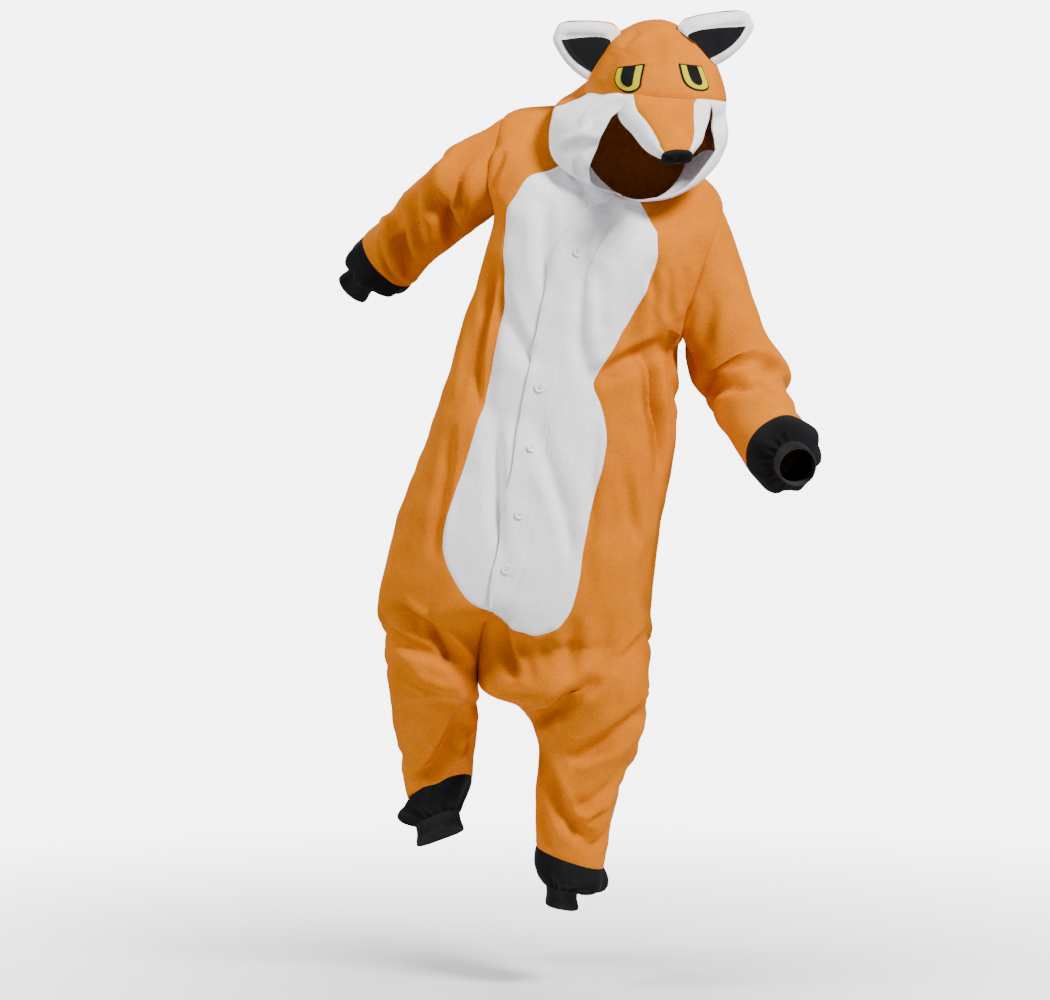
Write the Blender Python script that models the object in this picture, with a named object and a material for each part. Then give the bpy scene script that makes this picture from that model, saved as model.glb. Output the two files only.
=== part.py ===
"""A fox onesie (kigurumi) of fleece, worn and hollow: metres, +Z up, +X to the viewer's right, front to -Y.

The origin lies at the base of the neck, between the shoulders. "left" and "right" are the viewer's.
Every cloth piece is a wall cut out of one of a few smooth surfaces, which are lofted through
sections. A section is given by four marks in millimetres, and neighbours share their seam points.
"""

import functools
import math

import bmesh
import bpy
import numpy as np
from mathutils import Vector
from mathutils.bvhtree import BVHTree

# ---- driving sizes, in metres -----------------------------------------------------------------
FLEECE = 0.0024  # thickness of the fleece
RIB = 0.0020  # thickness of the rib knit
PADDING = 0.0060  # thickness of the stuffed muzzle's wall
NOSE_WALL = 0.0030  # thickness of the nose, and of the muzzle where it meets the nose
SEAM_GAP = 0.0003  # clearance between neighbouring pieces
PLACKET_WIDTH = 0.040
CORNER_SHIFT = 0.4  # of a cell, from the left cheek's corner to the muzzle's
BUTTON_RADIUS = 0.0085
BUTTON_THICKNESS = 0.0028
EAR_DEPTH = 0.012  # half the thickness of a stuffed ear at its middle
MM = 0.001

# ---- number of cells along and across the pieces ------------------------------------------------
LEG_ROWS = 11  # from the ankle seam up to the crotch
HIP_ROWS = 4  # from the crotch up to the foot of the belly panel
SIDE_ROWS = 14  # from there up to the armpit
ARMHOLE_ROWS = 7  # up the armhole, front and back alike
SHOULDER_ROWS = 3
FRONT_COLUMNS = 7
BELLY_COLUMNS = 5
BACK_COLUMNS = 9
TUBE_ROWS = 2  # between two sections of a sleeve or cuff
CHEEK_LEVELS = (0, 0.8, 1.4, 1.8, 2.2, 2.8, 3.5, 4.2, 5)  # of the rows of the cheeks
CROWN_ROWS = 6
BROW_COLUMNS = 3  # half the forehead seam, between the centre and the face opening
MUZZLE_ROWS = 6
MUZZLE_COLUMNS = 5  # of the left side; the right side has one more, on the forehead seam
NOSE_ROWS = 4

# ---- the body: levels are counted from the ankle seam (0) up to the neck --------------------------
CROTCH = 4  # level where both legs, both fronts and both backs meet
CROTCH_SIDE = 3.4  # level where the row through that point meets the side
BELLY_FOOT = 6  # level where the white belly panel ends on the centre front
BELLY_FOOT_SIDE = 4.3  # level where the row through that point meets the side
ARMPIT = 13
SHOULDER = 15  # level of the outer end of the shoulder seam
NECK = 17

# Torso, from the level above the crotch: marks on the left side, right side, centre front, centre back.
TORSO = (
    #  left side           right side         centre front        centre back
    ((-432, 0, -796), (52, 0, -806), (-247, -142, -800), (-250, 136, -818)),
    ((-436, 0, -745), (54, 0, -763), (-237, -150, -753), (-221, 140, -744)),
    ((-425, 0, -675), (57, 0, -705), (-207, -162, -682), (-196, 150, -660)),
    ((-402, 0, -590), (64, 0, -622), (-188, -160, -594), (-178, 150, -552)),
    ((-364, 0, -486), (83, 0, -535), (-173, -152, -514), (-147, 145, -465)),
    ((-322, 0, -364), (97, 0, -436), (-157, -142, -405), (-117, 140, -358)),
    ((-280, 0, -236), (98, 0, -342), (-136, -138, -300), (-80, 135, -245)),
    ((-244, 0, -125), (96, 0, -290), (-118, -138, -225), (-55, 130, -155)),
    ((-227, 0, -41), (110, 0, -263), (-103, -138, -167), (-36, 125, -77)),
    ((-239, 0, 43), (162, 0, -140), (-73, -130, -100), (-14, 118, 15)),
    ((-212, 0, 128), (184, 0, -36), (-43, -115, -63), (9, 102, 86)),
    ((-139, 5, 148), (152, 5, 13), (-19, -93, -47), (22, 86, 115)),
    ((-70, 10, 138), (116, 10, 48), (-3, -88, -23), (40, 75, 141)),
)

# Legs, from the ankle seam up to the crotch: marks on the inseam, front, outer side, back.
LEG_SECTIONS = {
    "left": (
        #  inseam             front               outer side          back
        ((-271, 150, -1077), (-330, 85, -1072), (-392, 150, -1120), (-335, 215, -1105)),
        ((-267, 110, -1019), (-336, 26, -1015), (-405, 110, -1023), (-342, 192, -1031)),
        ((-262, 70, -964), (-338, -25, -961), (-414, 70, -964), (-344, 165, -977)),
        ((-258, 35, -928), (-340, -65, -922), (-418, 35, -928), (-347, 140, -938)),
        ((-259, 0, -886), (-342, -104, -892), (-423, 0, -864), (-350, 125, -900)),
    ),
    "right": (
        ((-155, 0, -1177), (-98, -62, -1201), (-32, 0, -1219), (-92, 62, -1197)),
        ((-157, 0, -1085), (-84, -84, -1084), (-8, 0, -1085), (-82, 80, -1100)),
        ((-149, 0, -1000), (-62, -98, -1000), (28, 0, -1000), (-58, 95, -1014)),
        ((-185, 0, -930), (-60, -118, -930), (46, 0, -916), (-56, 116, -944)),
        ((-259, 0, -886), (-96, -137, -892), (49, 0, -853), (-91, 132, -910)),
    ),
}

# Ankles, from the ankle seam down: band seam, widest, foot of the band, then the mouth of the cuff.
ANKLE_SECTIONS = {
    "left": (
        ((-271, 150, -1077), (-330, 85, -1072), (-392, 150, -1120), (-335, 215, -1105)),
        ((-288, 168, -1114), (-344, 102, -1112), (-410, 168, -1150), (-350, 228, -1142)),
        ((-297, 182, -1142), (-335, 144, -1142), (-382, 182, -1170), (-342, 220, -1168)),
        ((-289, 190, -1176), (-331, 156, -1174), (-378, 190, -1206), (-338, 224, -1202)),
    ),
    "right": (
        ((-155, 0, -1177), (-98, -62, -1201), (-32, 0, -1219), (-92, 62, -1197)),
        ((-156, 2, -1214), (-98, -60, -1240), (-36, 2, -1254), (-94, 62, -1238)),
        ((-138, 4, -1250), (-108, -32, -1258), (-76, 4, -1264), (-106, 40, -1258)),
        ((-140, 4, -1284), (-108, -31, -1292), (-76, 4, -1294), (-106, 38, -1292)),
    ),
}

# Sleeves, from the armhole out: lower mark (x, z), upper mark (x, z), depth y, half the thickness.
# The last three sections are the widest part of the band, its foot and the mouth of the cuff.
SLEEVE_SECTIONS = {
    "left": (
        #  lower         upper         y    half
        ((-245, -49), (-274, 93), 8, 92),
        ((-274, -71), (-318, 64), 30, 84),
        ((-311, -97), (-366, 26), 60, 76),
        ((-353, -122), (-412, -16), 95, 68),
        ((-374, -146), (-441, -43), 118, 63),
        ((-390, -163), (-469, -63), 135, 60),
        ((-415, -178), (-498, -91), 152, 54),
        ((-451, -166), (-499, -118), 165, 35),
        ((-474, -187), (-521, -137), 182, 32),
    ),
    "right": (
        ((122, -301), (236, -184), 22, 86),
        ((131, -345), (265, -263), 20, 78),
        ((151, -371), (299, -322), 0, 72),
        ((162, -405), (286, -364), -50, 68),
        ((186, -454), (298, -396), -108, 65),
        ((216, -511), (308, -423), -160, 62),
        ((233, -530), (326, -444), -200, 59),
        ((258, -517), (312, -469), -230, 36),
        ((263, -524), (313, -478), -264, 32),
    ),
}

# Hood, from the neck up to the ridge over the crown: marks left, front, right, back.
# Its lower front hangs as a pouch in front of the shoulders.
HOOD_SECTIONS = (
    #  left           front             right            back
    ((-70, 10, 138), (-3, -88, -23), (116, 10, 48), (40, 75, 141)),
    ((-96, 4, 154), (-4, -112, -27), (150, -14, 66), (45, 80, 168)),
    ((-116, -14, 146), (-6, -136, -16), (174, -58, 60), (56, 113, 172)),
    ((-120, -38, 143), (24, -160, 46), (188, -54, 90), (54, 124, 198)),
    ((-100, -48, 148), (48, -166, 100), (184, -42, 134), (54, 127, 224)),
    ((-66, -30, 170), (63, -166, 142), (185, -28, 154), (56, 120, 248)),
    ((-62, -20, 202), (65, -160, 171), (177, -20, 195), (57, 108, 270)),
    ((-44, -20, 238), (71, -140, 213), (162, -20, 231), (58, 86, 290)),
    ((-13, -20, 274), (70, -105, 254), (135, -20, 272), (60, 50, 302)),
    ((60, -15, 306),) * 4,
)
# How far the left front of the hood bulges between its marks, by level (less is squarer).
LEFT_SQUARENESS = (1, 0.8, 0.5, 0.6, 0.8, 0.95)
HOOD_SEAM = 5  # level of the seam between the white cheeks and the orange crown
HOOD_TOP = 9
NAPE_BEND = 8.2  # level at the back of the row from the top of the forehead seam
CROWN_BEND = 1.7
CHEEK_BACK = 0.25  # turn from the front to the seam behind the cheek
# Edge of the face opening, in degrees from the front, at the levels 0 to 5.
FACE_EDGE = {"left": (0, 5, 9, 16, 24, 22), "right": (0, 20, 44, 60, 54, 42)}

# Muzzle, from the forehead seam to the nose: marks top, right, under, left, and how far the orange
# top reaches round to the left and to the right, as a share of a turn.
MUZZLE_SECTIONS = (
    #  top            right            under            left            reach left, right
    ((61, -172, 147), (147, -132, 134), (70, -105, 124), (-14, -140, 115), 0.125, 0.117),
    ((67, -216, 107), (140, -180, 95), (74, -150, 96), (8, -192, 73), 0.090, 0.120),
    ((77, -250, 68), (129, -218, 57), (83, -185, 60), (32, -226, 39), 0.090, 0.130),
    ((83, -268, 36), (109, -250, 29), (86, -222, 27), (58, -254, 23), 0.120, 0.150),
)
MUZZLE_SQUARENESS = 0.9
NOSE_SQUARENESS = 0.5
SQUARED = 2.2  # level from which the muzzle is squared towards the nose
# Nose, from the muzzle's end to its tip.
NOSE_SECTIONS = (
    MUZZLE_SECTIONS[-1],
    ((83, -284, 28), (107, -266, 20), (85, -236, 17), (60, -268, 15)),
    ((83, -276, 13),) * 4,
)

# Ears: base marks in front view (x, z) at the top and at the side of the hood, then the tip's two
# corners (x, y, z).
EARS = {
    #  base top    base side    tip top          tip side
    "left": ((-5, 273), (-61, 189), (-116, -60, 287), (-127, -58, 261)),
    "right": ((95, 273), (163, 212), (221, -60, 309), (234, -58, 284)),
}
EAR_ROWS = (0, 0.08, 0.26, 0.46, 0.68, 0.82, 1)  # heights of the ear's rows
EAR_SPLIT = 0.68  # height where the black tip of its back begins
EAR_COLUMNS = (-1, -0.64, -0.22, 0.22, 0.64, 1)  # across the ear, from its top edge to its side edge
EAR_FOOT = 0.014  # half the turn that the ear's foot takes up on the hood
EAR_BOW = 0.009  # how far the side edge bows out
EAR_RISE = 0.014  # how far the top edge bows up
EAR_LENGTH = 0.11
EAR_GAP = 0.0009  # clearance between the ear's foot and the hood

# Eyes: marks in front view (x, z): top left, top right, bottom right, bottom left.
EYES = {
    "left": ((-13, 200), (35, 202), (30, 149), (-16, 149)),
    "right": ((93, 203), (134, 202), (154, 158), (108, 152)),
}
EYE_LAYERS = (
    # name, material, share of the width, top and bottom as shares of the height
    ("edge", "black_fleece", 1.0, 0.0, 1.0),
    ("iris", "yellow_felt", 0.90, 0.05, 0.95),
    ("pupil", "black_fleece", 0.46, 0.06, 0.78),
)
EYE_ROUNDING = 4  # how late the sides of an eye turn in to its round foot
EYE_LIFT = 0.0007  # clearance under the lowest layer, where the hood is highest
EYE_ROWS = (0, 0.4, 0.7, 0.88, 0.97, 1)  # shares of the height
EYE_COLUMNS = 4
FELT = 0.0010  # thickness of each layer of the eyes

# Edge of the white belly panel in front view, from its foot on the centre front up to the neck:
# the level where the panel's row meets the side, then x and z.
BELLY_EDGE = {
    "left": (
        #  side    x     z
        (4.3, -237, -753),
        (4.8, -268, -738),
        (5.4, -293, -706),
        (6.2, -312, -668),
        (7.1, -318, -634),
        (7.7, -311, -593),
        (8.6, -287, -519),
        (9.6, -257, -418),
        (10.6, -234, -312),
        (11.5, -222, -232),
        (12.4, -215, -142),
        (13.5, -212, -76),
        (14.2, -192, -22),
        (15.0, -148, 20),
        (15.8, -112, 36),
        (17.0, -55, 60),
    ),
    "right": (
        (4.3, -237, -753),
        (4.75, -190, -788),
        (5.3, -140, -793),
        (6.0, -98, -760),
        (6.8, -79, -697),
        (7.8, -68, -628),
        (8.6, -53, -558),
        (9.3, -37, -488),
        (9.8, -32, -445),
        (10.5, -40, -392),
        (11.0, -52, -357),
        (11.5, -38, -325),
        (12.2, -6, -272),
        (13.0, 33, -206),
        (14.0, 58, -144),
        (14.7, 59, -100),
        (15.6, 47, -60),
        (17.0, 28, -22),
    ),
}
# How far the right front hangs below the crotch seam that holds up the centre front, by level.
SAG = {5: 28, 6: 40, 7: 22, 8: 8}
FRONT_BEND = 1.9  # how much sooner the fronts' rows reach the side's height than a straight row
CENTRE_REACH = 0.2  # turn over which each half bends to meet the other on the centre lines
ARMHOLE_REACH = 0.24  # how far the armhole comes round from the side, of a quarter turn

# Heights of the buttons on the placket, and their half section: (share of the radius, of the height).
BUTTONS = (-125, -362, -467, -583, -678)
BUTTON_FACE = ((1.0, 0.55), (0.90, 1.0), (0.68, 0.74), (0, 0.74))
BUTTON_BACK = ((0.92, 0), (0.6, 0), (0.3, 0), (0, 0))
BUTTON_SEGMENTS = 12
BUTTON_LIFT = 0.0006  # clearance over the placket

# Large creases: the way they face, their depth and width, and their line in front view (x, z).
CREASES = (
    ("front", 14, 20, ((-40, -340), (-9, -319), (26, -302), (101, -276))),
    ("front", 13, 20, ((-229, -157), (-232, -244), (-241, -314), (-251, -384))),
    ("front", 12, 18, ((43, -312), (47, -384), (61, -436), (68, -523))),
    ("front", 9, 18, ((-392, -750), (-340, -794), (-305, -828), (-276, -860))),
    ("front", 8, 16, ((-223, -776), (-213, -811), (-197, -851))),
    ("front", 8, 18, ((-96, -785), (-96, -907))),
    ("front", 9, 18, ((-61, -881), (-96, -902), (-117, -928), (-148, -945))),
    ("front", 9, 18, ((-284, -945), (-310, -1000), (-341, -1048))),
    ("front", 9, 18, ((38, -933), (-26, -977), (-87, -1012))),
    ("front", 8, 18, ((-148, -1003), (-134, -1047), (-110, -1099), (-61, -1168))),
    ("front", 10, 16, ((265, -326), (228, -333), (184, -357), (139, -366))),
    ("front", 9, 18, ((-236, 80), (-282, 18), (-305, -43), (-302, -84))),
    ("front", 8, 14, ((-393, -50), (-391, -103), (-374, -170))),
    ("front", 7, 18, ((-61, -105), (-74, -175), (-79, -279), (-53, -384))),
    ("front", 6, 16, ((-140, -35), (-140, -192))),
    ("front", 7, 16, ((-218, -209), (-183, -288), (-157, -314))),
    ("front", 7, 18, ((-161, -418), (-131, -506), (-87, -663))),
    ("front", 6, 16, ((-227, -418), (-218, -663))),
    ("front", 7, 16, ((52, -148), (0, -262))),
    ("back", 14, 22, ((98, -280), (40, -318), (-20, -330), (-70, -322))),
    ("back", 9, 20, ((-196, -60), (-190, -180), (-214, -300), (-230, -380))),
    ("back", 8, 20, ((-10, -20), (0, -120), (18, -210))),
    ("back", 8, 20, ((-110, -420), (-120, -540), (-104, -640))),
    ("back", 9, 20, ((-20, -470), (-8, -580), (-24, -690))),
    ("back", 10, 20, ((-380, -700), (-320, -752), (-260, -800))),
    ("back", 9, 18, ((30, -730), (-40, -790), (-110, -812))),
    ("back", 9, 18, ((-390, -900), (-330, -940), (-290, -950))),
    ("back", 9, 18, ((20, -930), (-40, -985), (-110, -1010))),
    ("back", 8, 18, ((-130, -1050), (-90, -1100), (-40, -1120))),
    ("back", 9, 18, ((-250, 60), (-300, 0), (-330, -60))),
    ("back", 9, 18, ((130, -300), (190, -330), (250, -330))),
)

# ---- colours --------------------------------------------------------------------------------------
COLOURS = {
    "orange_fleece": (0.87, 0.30, 0.035),
    "white_fleece": (0.84, 0.83, 0.87),
    "black_fleece": (0.010, 0.010, 0.012),
    "black_rib": (0.012, 0.012, 0.014),
    "yellow_felt": (0.78, 0.72, 0.03),
    "button_plastic": (0.82, 0.82, 0.84),
}

SIDES = {"left": -1, "right": 1}


# ---- surfaces -------------------------------------------------------------------------------------
def marks(table):
    return np.array(table, float) * MM


def round_section(turn, section, centre, squareness=1.0):
    """Points round one section: its four marks lie at turn 0, 0.25, 0.5 and 0.75."""
    angle = 2 * math.pi * np.asarray(turn, float)
    along, across = np.cos(angle), np.sin(angle)
    weights = (along.clip(0), across.clip(0), (-along).clip(0), (-across).clip(0))
    point = centre
    for weight, mark in zip(weights, section):
        point = point + (np.maximum(weight, 1e-9)**squareness)[..., None] * (mark - centre)
    return point


def loft(rows, level, rounded_end=False):
    """A smooth curve through rows of points, read at level; rows[i] is met at level i."""
    rows = np.asarray(rows)
    first = 2 * rows[0] - rows[1]
    last = 2 * rows[-1] - rows[-2]
    if rounded_end:
        last[..., 2] = rows[-2][..., 2]
    padded = np.concatenate([first[None], rows, last[None]])
    level = np.asarray(level, float)
    padded = np.broadcast_to(padded, (len(padded), *level.shape, 3))
    index = np.clip(np.floor(level).astype(int), 0, len(rows) - 2)
    t = (level - index)[..., None]
    picked = [
        np.take_along_axis(padded, (index + k)[None, ..., None], 0)[0] for k in range(4)
    ]
    a, b, c, d = picked
    return 0.5 * (
        2 * b + (c - a) * t + (2 * a - 5 * b + 4 * c - d) * t**2 + (3 * b - a - 3 * c + d) * t**3
    )


def side_centre(left, right, front, back):
    """The point of the line between the sides that lies nearest the middle of the depth."""
    span = right - left
    if not span.any():
        return left
    share = np.dot((front + back) / 2 - left, span) / np.dot(span, span)
    return left + share * span


SQUARENESS = (1, 0.9, 0.88, 0.86, 0.86, 0.86, 0.86, 0.84, 0.82, 0.8, 0.84, 0.9, 1.0)


def body_rows(side, turn):
    """Every level's points on one half of the body, round from the centre front or inseam."""
    rows = []
    for section in marks(LEG_SECTIONS[side]):
        centre = (section[0] + section[2]) / 2
        centre[1] = (section[1][1] + section[3][1]) / 2
        rows.append(round_section(turn, section, centre, 0.92))
    for number, section in enumerate(marks(TORSO)):
        left, right, front, back = section
        centre = side_centre(left, right, front, back)
        outer = left if side == "left" else right
        ring = (front, outer, back, outer)
        rows.append(round_section(turn / 2, ring, centre, SQUARENESS[number]))
    if side == "right":
        for number, drop in SAG.items():
            shape = np.where(turn < 0.25, 1 - (1 - 4 * turn) ** 4, np.sin(2 * math.pi * turn).clip(0))
            rows[number][..., 2] -= drop * MM * shape
    # Just above the crotch the half torso is still drawn in towards the leg.
    drawn_in = rows[CROTCH].copy()
    drawn_in[..., 2] = rows[CROTCH + 1][..., 2]
    rows[CROTCH + 1] = (rows[CROTCH + 1] + drawn_in) / 2
    return rows


def half_body(side, turn, level):
    turn = np.asarray(turn, float)
    return loft(body_rows(side, turn), level)


def body(side, turn, level):
    """A point of the body: turn 0 is the centre front (or inseam), 0.5 the side, 1 the centre back."""
    turn, level = np.broadcast_arrays(np.asarray(turn, float), np.asarray(level, float))
    other = "right" if side == "left" else "left"
    point = half_body(side, turn, level)
    low = level[..., None] <= CROTCH
    ends = {edge: half_body(side, np.full_like(turn, edge), level) for edge in (0.0, 1.0)}
    inseam = (ends[0.0] + ends[1.0]) / 2
    for edge, line in ends.items():
        centre = (line + half_body(other, np.full_like(turn, edge), level)) / 2
        reach = np.clip(1 - abs(turn - edge) / CENTRE_REACH, 0, 1)[..., None] ** 2
        point = point + reach * (np.where(low, inseam, centre) - line)
    return point


def hood(turn, level):
    """A point of the hood: turn 0 is the front, positive to the right, 0.5 the back."""
    turn, level = np.broadcast_arrays(np.asarray(turn, float), np.asarray(level, float))
    rows = []
    for number, (left, front, right, back) in enumerate(marks(HOOD_SECTIONS)):
        centre = side_centre(left, right, front, back)
        squareness = 0.95 if rows else SQUARENESS[-1]
        if number < len(LEFT_SQUARENESS):
            left_front = (turn < 0) & (turn >= -0.25)
            squareness = np.where(left_front, LEFT_SQUARENESS[number], squareness)
        rows.append(round_section(turn, (front, right, back, left), centre, squareness))
    return loft(rows, level, rounded_end=True)


def sleeve_rings(side, turn):
    """Rings of points along a sleeve; turn 0 is the underarm, 0.25 the front."""
    table = SLEEVE_SECTIONS[side]
    lower = np.array([(low[0], y, low[1]) for low, up, y, half in table]) * MM
    upper = np.array([(up[0], y, up[1]) for low, up, y, half in table]) * MM
    half = np.array([row[3] for row in table]) * MM
    middle = (lower + upper) / 2
    along = np.gradient(middle, axis=0)
    rings = []
    for k in range(len(table)):
        toward = np.cross(lower[k] - middle[k], along[k])
        toward = toward / np.linalg.norm(toward) * half[k]
        if toward[1] > 0:
            toward = -toward
        section = (lower[k], middle[k] + toward, upper[k], middle[k] - toward)
        rings.append(round_section(turn, section, middle[k]))
    return rings


def muzzle(sections, turn, level, squareness):
    """A point of the muzzle or nose: turn 0 is the top, 0.25 the right, 0.5 the underside."""
    rows = []
    for section in sections:
        ring = marks(section[:4])
        rows.append(round_section(turn, ring, ring.mean(0), squareness))
    return loft(rows, level)


def outward_normal(surface, turn, level):
    """Unit normal of a surface at turn, level, where turns run from the front to the right."""
    step = 0.004
    around = surface(turn + step, level) - surface(turn - step, level)
    up = surface(turn, level + step) - surface(turn, level - step)
    return unit(np.cross(around, up))


# ---- pieces ---------------------------------------------------------------------------------------
POINT_SIZE = 1e-6  # a row no longer than this is a single point


class Piece:
    """A grid of points on the outside of a piece, and what it is made of."""

    def __init__(self, name, grid, material, thickness, closed=False, normal=None):
        self.name = name
        self.known_normal = normal
        self.grid = np.array(grid)
        self.material = material
        self.thickness = thickness
        self.closed = closed

    def normals(self):
        """Unit normals of the grid's points, pointing out of the garment."""
        grid = self.grid
        if self.closed:
            down_columns = np.roll(grid, -1, 1) - np.roll(grid, 1, 1)
        else:
            down_columns = np.gradient(grid, axis=1)
        normal = unit(np.cross(down_columns, np.gradient(grid, axis=0)))
        for row, beside in ((0, 1), (-1, -2)):
            if np.ptp(grid[row], axis=0).max() < POINT_SIZE:
                normal[row] = unit(normal[beside].sum(0))
        if self.known_normal is not None:
            normal[:len(self.known_normal)] = self.known_normal
        return normal


def unit(vectors):
    return vectors / np.maximum(np.linalg.norm(vectors, axis=-1, keepdims=True), 1e-12)


def seam_key(point):
    return tuple(np.round(point * 20000).astype(int))


def shared_normals(pieces):
    """Each piece's normals, averaged with its neighbours' at seam points unless they face apart."""
    meeting = {}
    own = [piece.normals() for piece in pieces]
    for piece, normal in zip(pieces, own):
        for point, n in zip(piece.grid.reshape(-1, 3), normal.reshape(-1, 3)):
            meeting.setdefault(seam_key(point), []).append(n)
    result = []
    for piece, normal in zip(pieces, own):
        flat = []
        for point, n in zip(piece.grid.reshape(-1, 3), normal.reshape(-1, 3)):
            flat.append(sum(other for other in meeting[seam_key(point)] if other @ n > FACING_APART))
        result.append(unit(np.array(flat).reshape(piece.grid.shape)))
    return result


def seam_clearance(grid, normal, closed):
    """How far each point of a piece's border moves in, square to its normal, to clear its neighbour."""
    shift = np.zeros_like(grid)

    def draw(border, inside, normals, ring=False):
        if ring:
            along = unit(np.roll(border, -1, 0) - np.roll(border, 1, 0))
        else:
            along = unit(np.gradient(border, axis=0))
        way = inside - border
        for axis in (normals, unit(along - (along * normals).sum(-1, keepdims=True) * normals)):
            way = way - (way * axis).sum(-1, keepdims=True) * axis
        return unit(way) * SEAM_GAP / 2

    shift[0] += draw(grid[0], grid[1], normal[0], closed)
    shift[-1] += draw(grid[-1], grid[-2], normal[-1], closed)
    if not closed:
        shift[:, 0] += draw(grid[:, 0], grid[:, 1], normal[:, 0])
        shift[:, -1] += draw(grid[:, -1], grid[:, -2], normal[:, -1])
    for row, beside in ((0, 1), (-1, -2)):
        if np.ptp(grid[row], axis=0).max() < POINT_SIZE:
            shift[row] = unit((grid[beside] - grid[row]).mean(0)) * SEAM_GAP
    return shift


FACING_APART = -0.6  # cosine between normals that aren't averaged
RIM_RANK = np.array((0.37, 0.21, 1.0))  # an order of points that neighbouring pieces agree on


def slab(name, outer, inner, material, closed=False):
    """A closed solid between two grids of points of the same shape."""
    rows, columns = outer.shape[:2]
    points = [tuple(p) for p in outer.reshape(-1, 3)] + [tuple(p) for p in inner.reshape(-1, 3)]
    behind = rows * columns

    def at(row, column, layer):
        return layer * behind + row * columns + column % columns

    faces = []
    rank = outer @ RIM_RANK
    last = columns if closed else columns - 1
    for row in range(rows - 1):
        for column in range(last):
            corners = [(row, column), (row, column + 1), (row + 1, column + 1), (row + 1, column)]
            # Layers over one another are cut into triangles along the same diagonals.
            highest = max(range(4), key=lambda k: rank[corners[k][0], corners[k][1] % columns])
            a, b, c, d = corners[highest:] + corners[:highest]
            for triangle in ((a, b, c), (a, c, d)):
                faces.append([at(r, c, 0) for r, c in triangle])
                faces.append([at(r, c, 1) for r, c in reversed(triangle)])
    rims = [((0, c), (0, c + 1), False) for c in range(last)]
    rims += [((rows - 1, c), (rows - 1, c + 1), True) for c in range(last)]
    if not closed:
        rims += [((r, 0), (r + 1, 0), True) for r in range(rows - 1)]
        rims += [((r, columns - 1), (r + 1, columns - 1), False) for r in range(rows - 1)]
    for start, end, flipped in rims:
        a, b = at(*start, 0), at(*end, 0)
        behind_a, behind_b = at(*start, 1), at(*end, 1)
        # Pieces that share a seam cut its rim along the same diagonals.
        if rank[start] < rank[end[0], end[1] % columns]:
            rim = [[a, behind_a, behind_b], [a, behind_b, b]]
        else:
            rim = [[a, behind_a, b], [b, behind_a, behind_b]]
        faces += [corners[::-1] if flipped else corners for corners in rim]
    mesh = bpy.data.meshes.new(name)
    mesh.from_pydata(points, [], faces)
    weld(mesh)
    solid = bpy.data.objects.new(name, mesh)
    bpy.context.collection.objects.link(solid)
    mesh.materials.append(material_called(material))
    face_outward(mesh)
    mesh.shade_smooth()
    mesh.set_sharp_from_angle(angle=math.radians(50))
    return solid


def weld(mesh):
    """Merges the points of rows that collapse to one point, and drops the faces this leaves flat."""
    work = bmesh.new()
    work.from_mesh(mesh)
    bmesh.ops.remove_doubles(work, verts=work.verts, dist=POINT_SIZE)
    bmesh.ops.dissolve_degenerate(work, edges=work.edges, dist=POINT_SIZE)
    loose = [edge for edge in work.edges if not edge.link_faces]
    bmesh.ops.delete(work, geom=loose, context="EDGES")
    work.to_mesh(mesh)
    work.free()


def face_outward(mesh):
    """Turns every face round if the mesh encloses a negative volume."""
    mesh.calc_loop_triangles()
    co = np.array([v.co for v in mesh.vertices])
    triangles = np.array([t.vertices for t in mesh.loop_triangles])
    a, b, c = co[triangles[:, 0]], co[triangles[:, 1]], co[triangles[:, 2]]
    if np.einsum("ij,ij->i", a, np.cross(b, c)).sum() < 0:
        mesh.flip_normals()


def material_called(name):
    material = bpy.data.materials.get(name)
    if material is None:
        material = bpy.data.materials.new(name)
        material.use_nodes = True
        shader = material.node_tree.nodes["Principled BSDF"]
        shader.inputs["Base Color"].default_value = (*COLOURS[name], 1)
        shader.inputs["Roughness"].default_value = 0.45 if name == "button_plastic" else 0.9
    return material


def crease_depth(point, normal):
    """How far the creases press a point of the surface in."""
    depth = np.zeros(point.shape[:-1])
    for facing, deep, wide, line in CREASES:
        toward = (normal[..., 1] * (-1 if facing == "front" else 1)).clip(0, 0.6) / 0.6
        ends = marks(line)
        nearest = np.full(point.shape[:-1], np.inf)
        for start, end in zip(ends[:-1], ends[1:]):
            way = end - start
            share = ((point[..., ::2] - start) @ way / (way @ way)).clip(0, 1)
            miss = np.linalg.norm(point[..., ::2] - start - share[..., None] * way, axis=-1)
            nearest = np.minimum(nearest, miss)
        depth += toward * deep * MM * np.exp(-((nearest / (wide * MM)) ** 2))
    return depth


def press_creases(pieces):
    for piece, normal in zip(pieces, shared_normals(pieces)):
        piece.grid = piece.grid - normal * crease_depth(piece.grid, normal)[..., None]


def make_walls(pieces):
    """Builds each piece as a wall of its thickness, inside its grid of outer points."""
    for piece, normal in zip(pieces, shared_normals(pieces)):
        piece.normal = normal
        outer = piece.grid + seam_clearance(piece.grid, normal, piece.closed)
        slab(piece.name, outer, outer - normal * piece.thickness, piece.material, piece.closed)


# ---- the cut of the body --------------------------------------------------------------------------
def steps(start, end, cells):
    return np.linspace(start, end, cells + 1)


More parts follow.
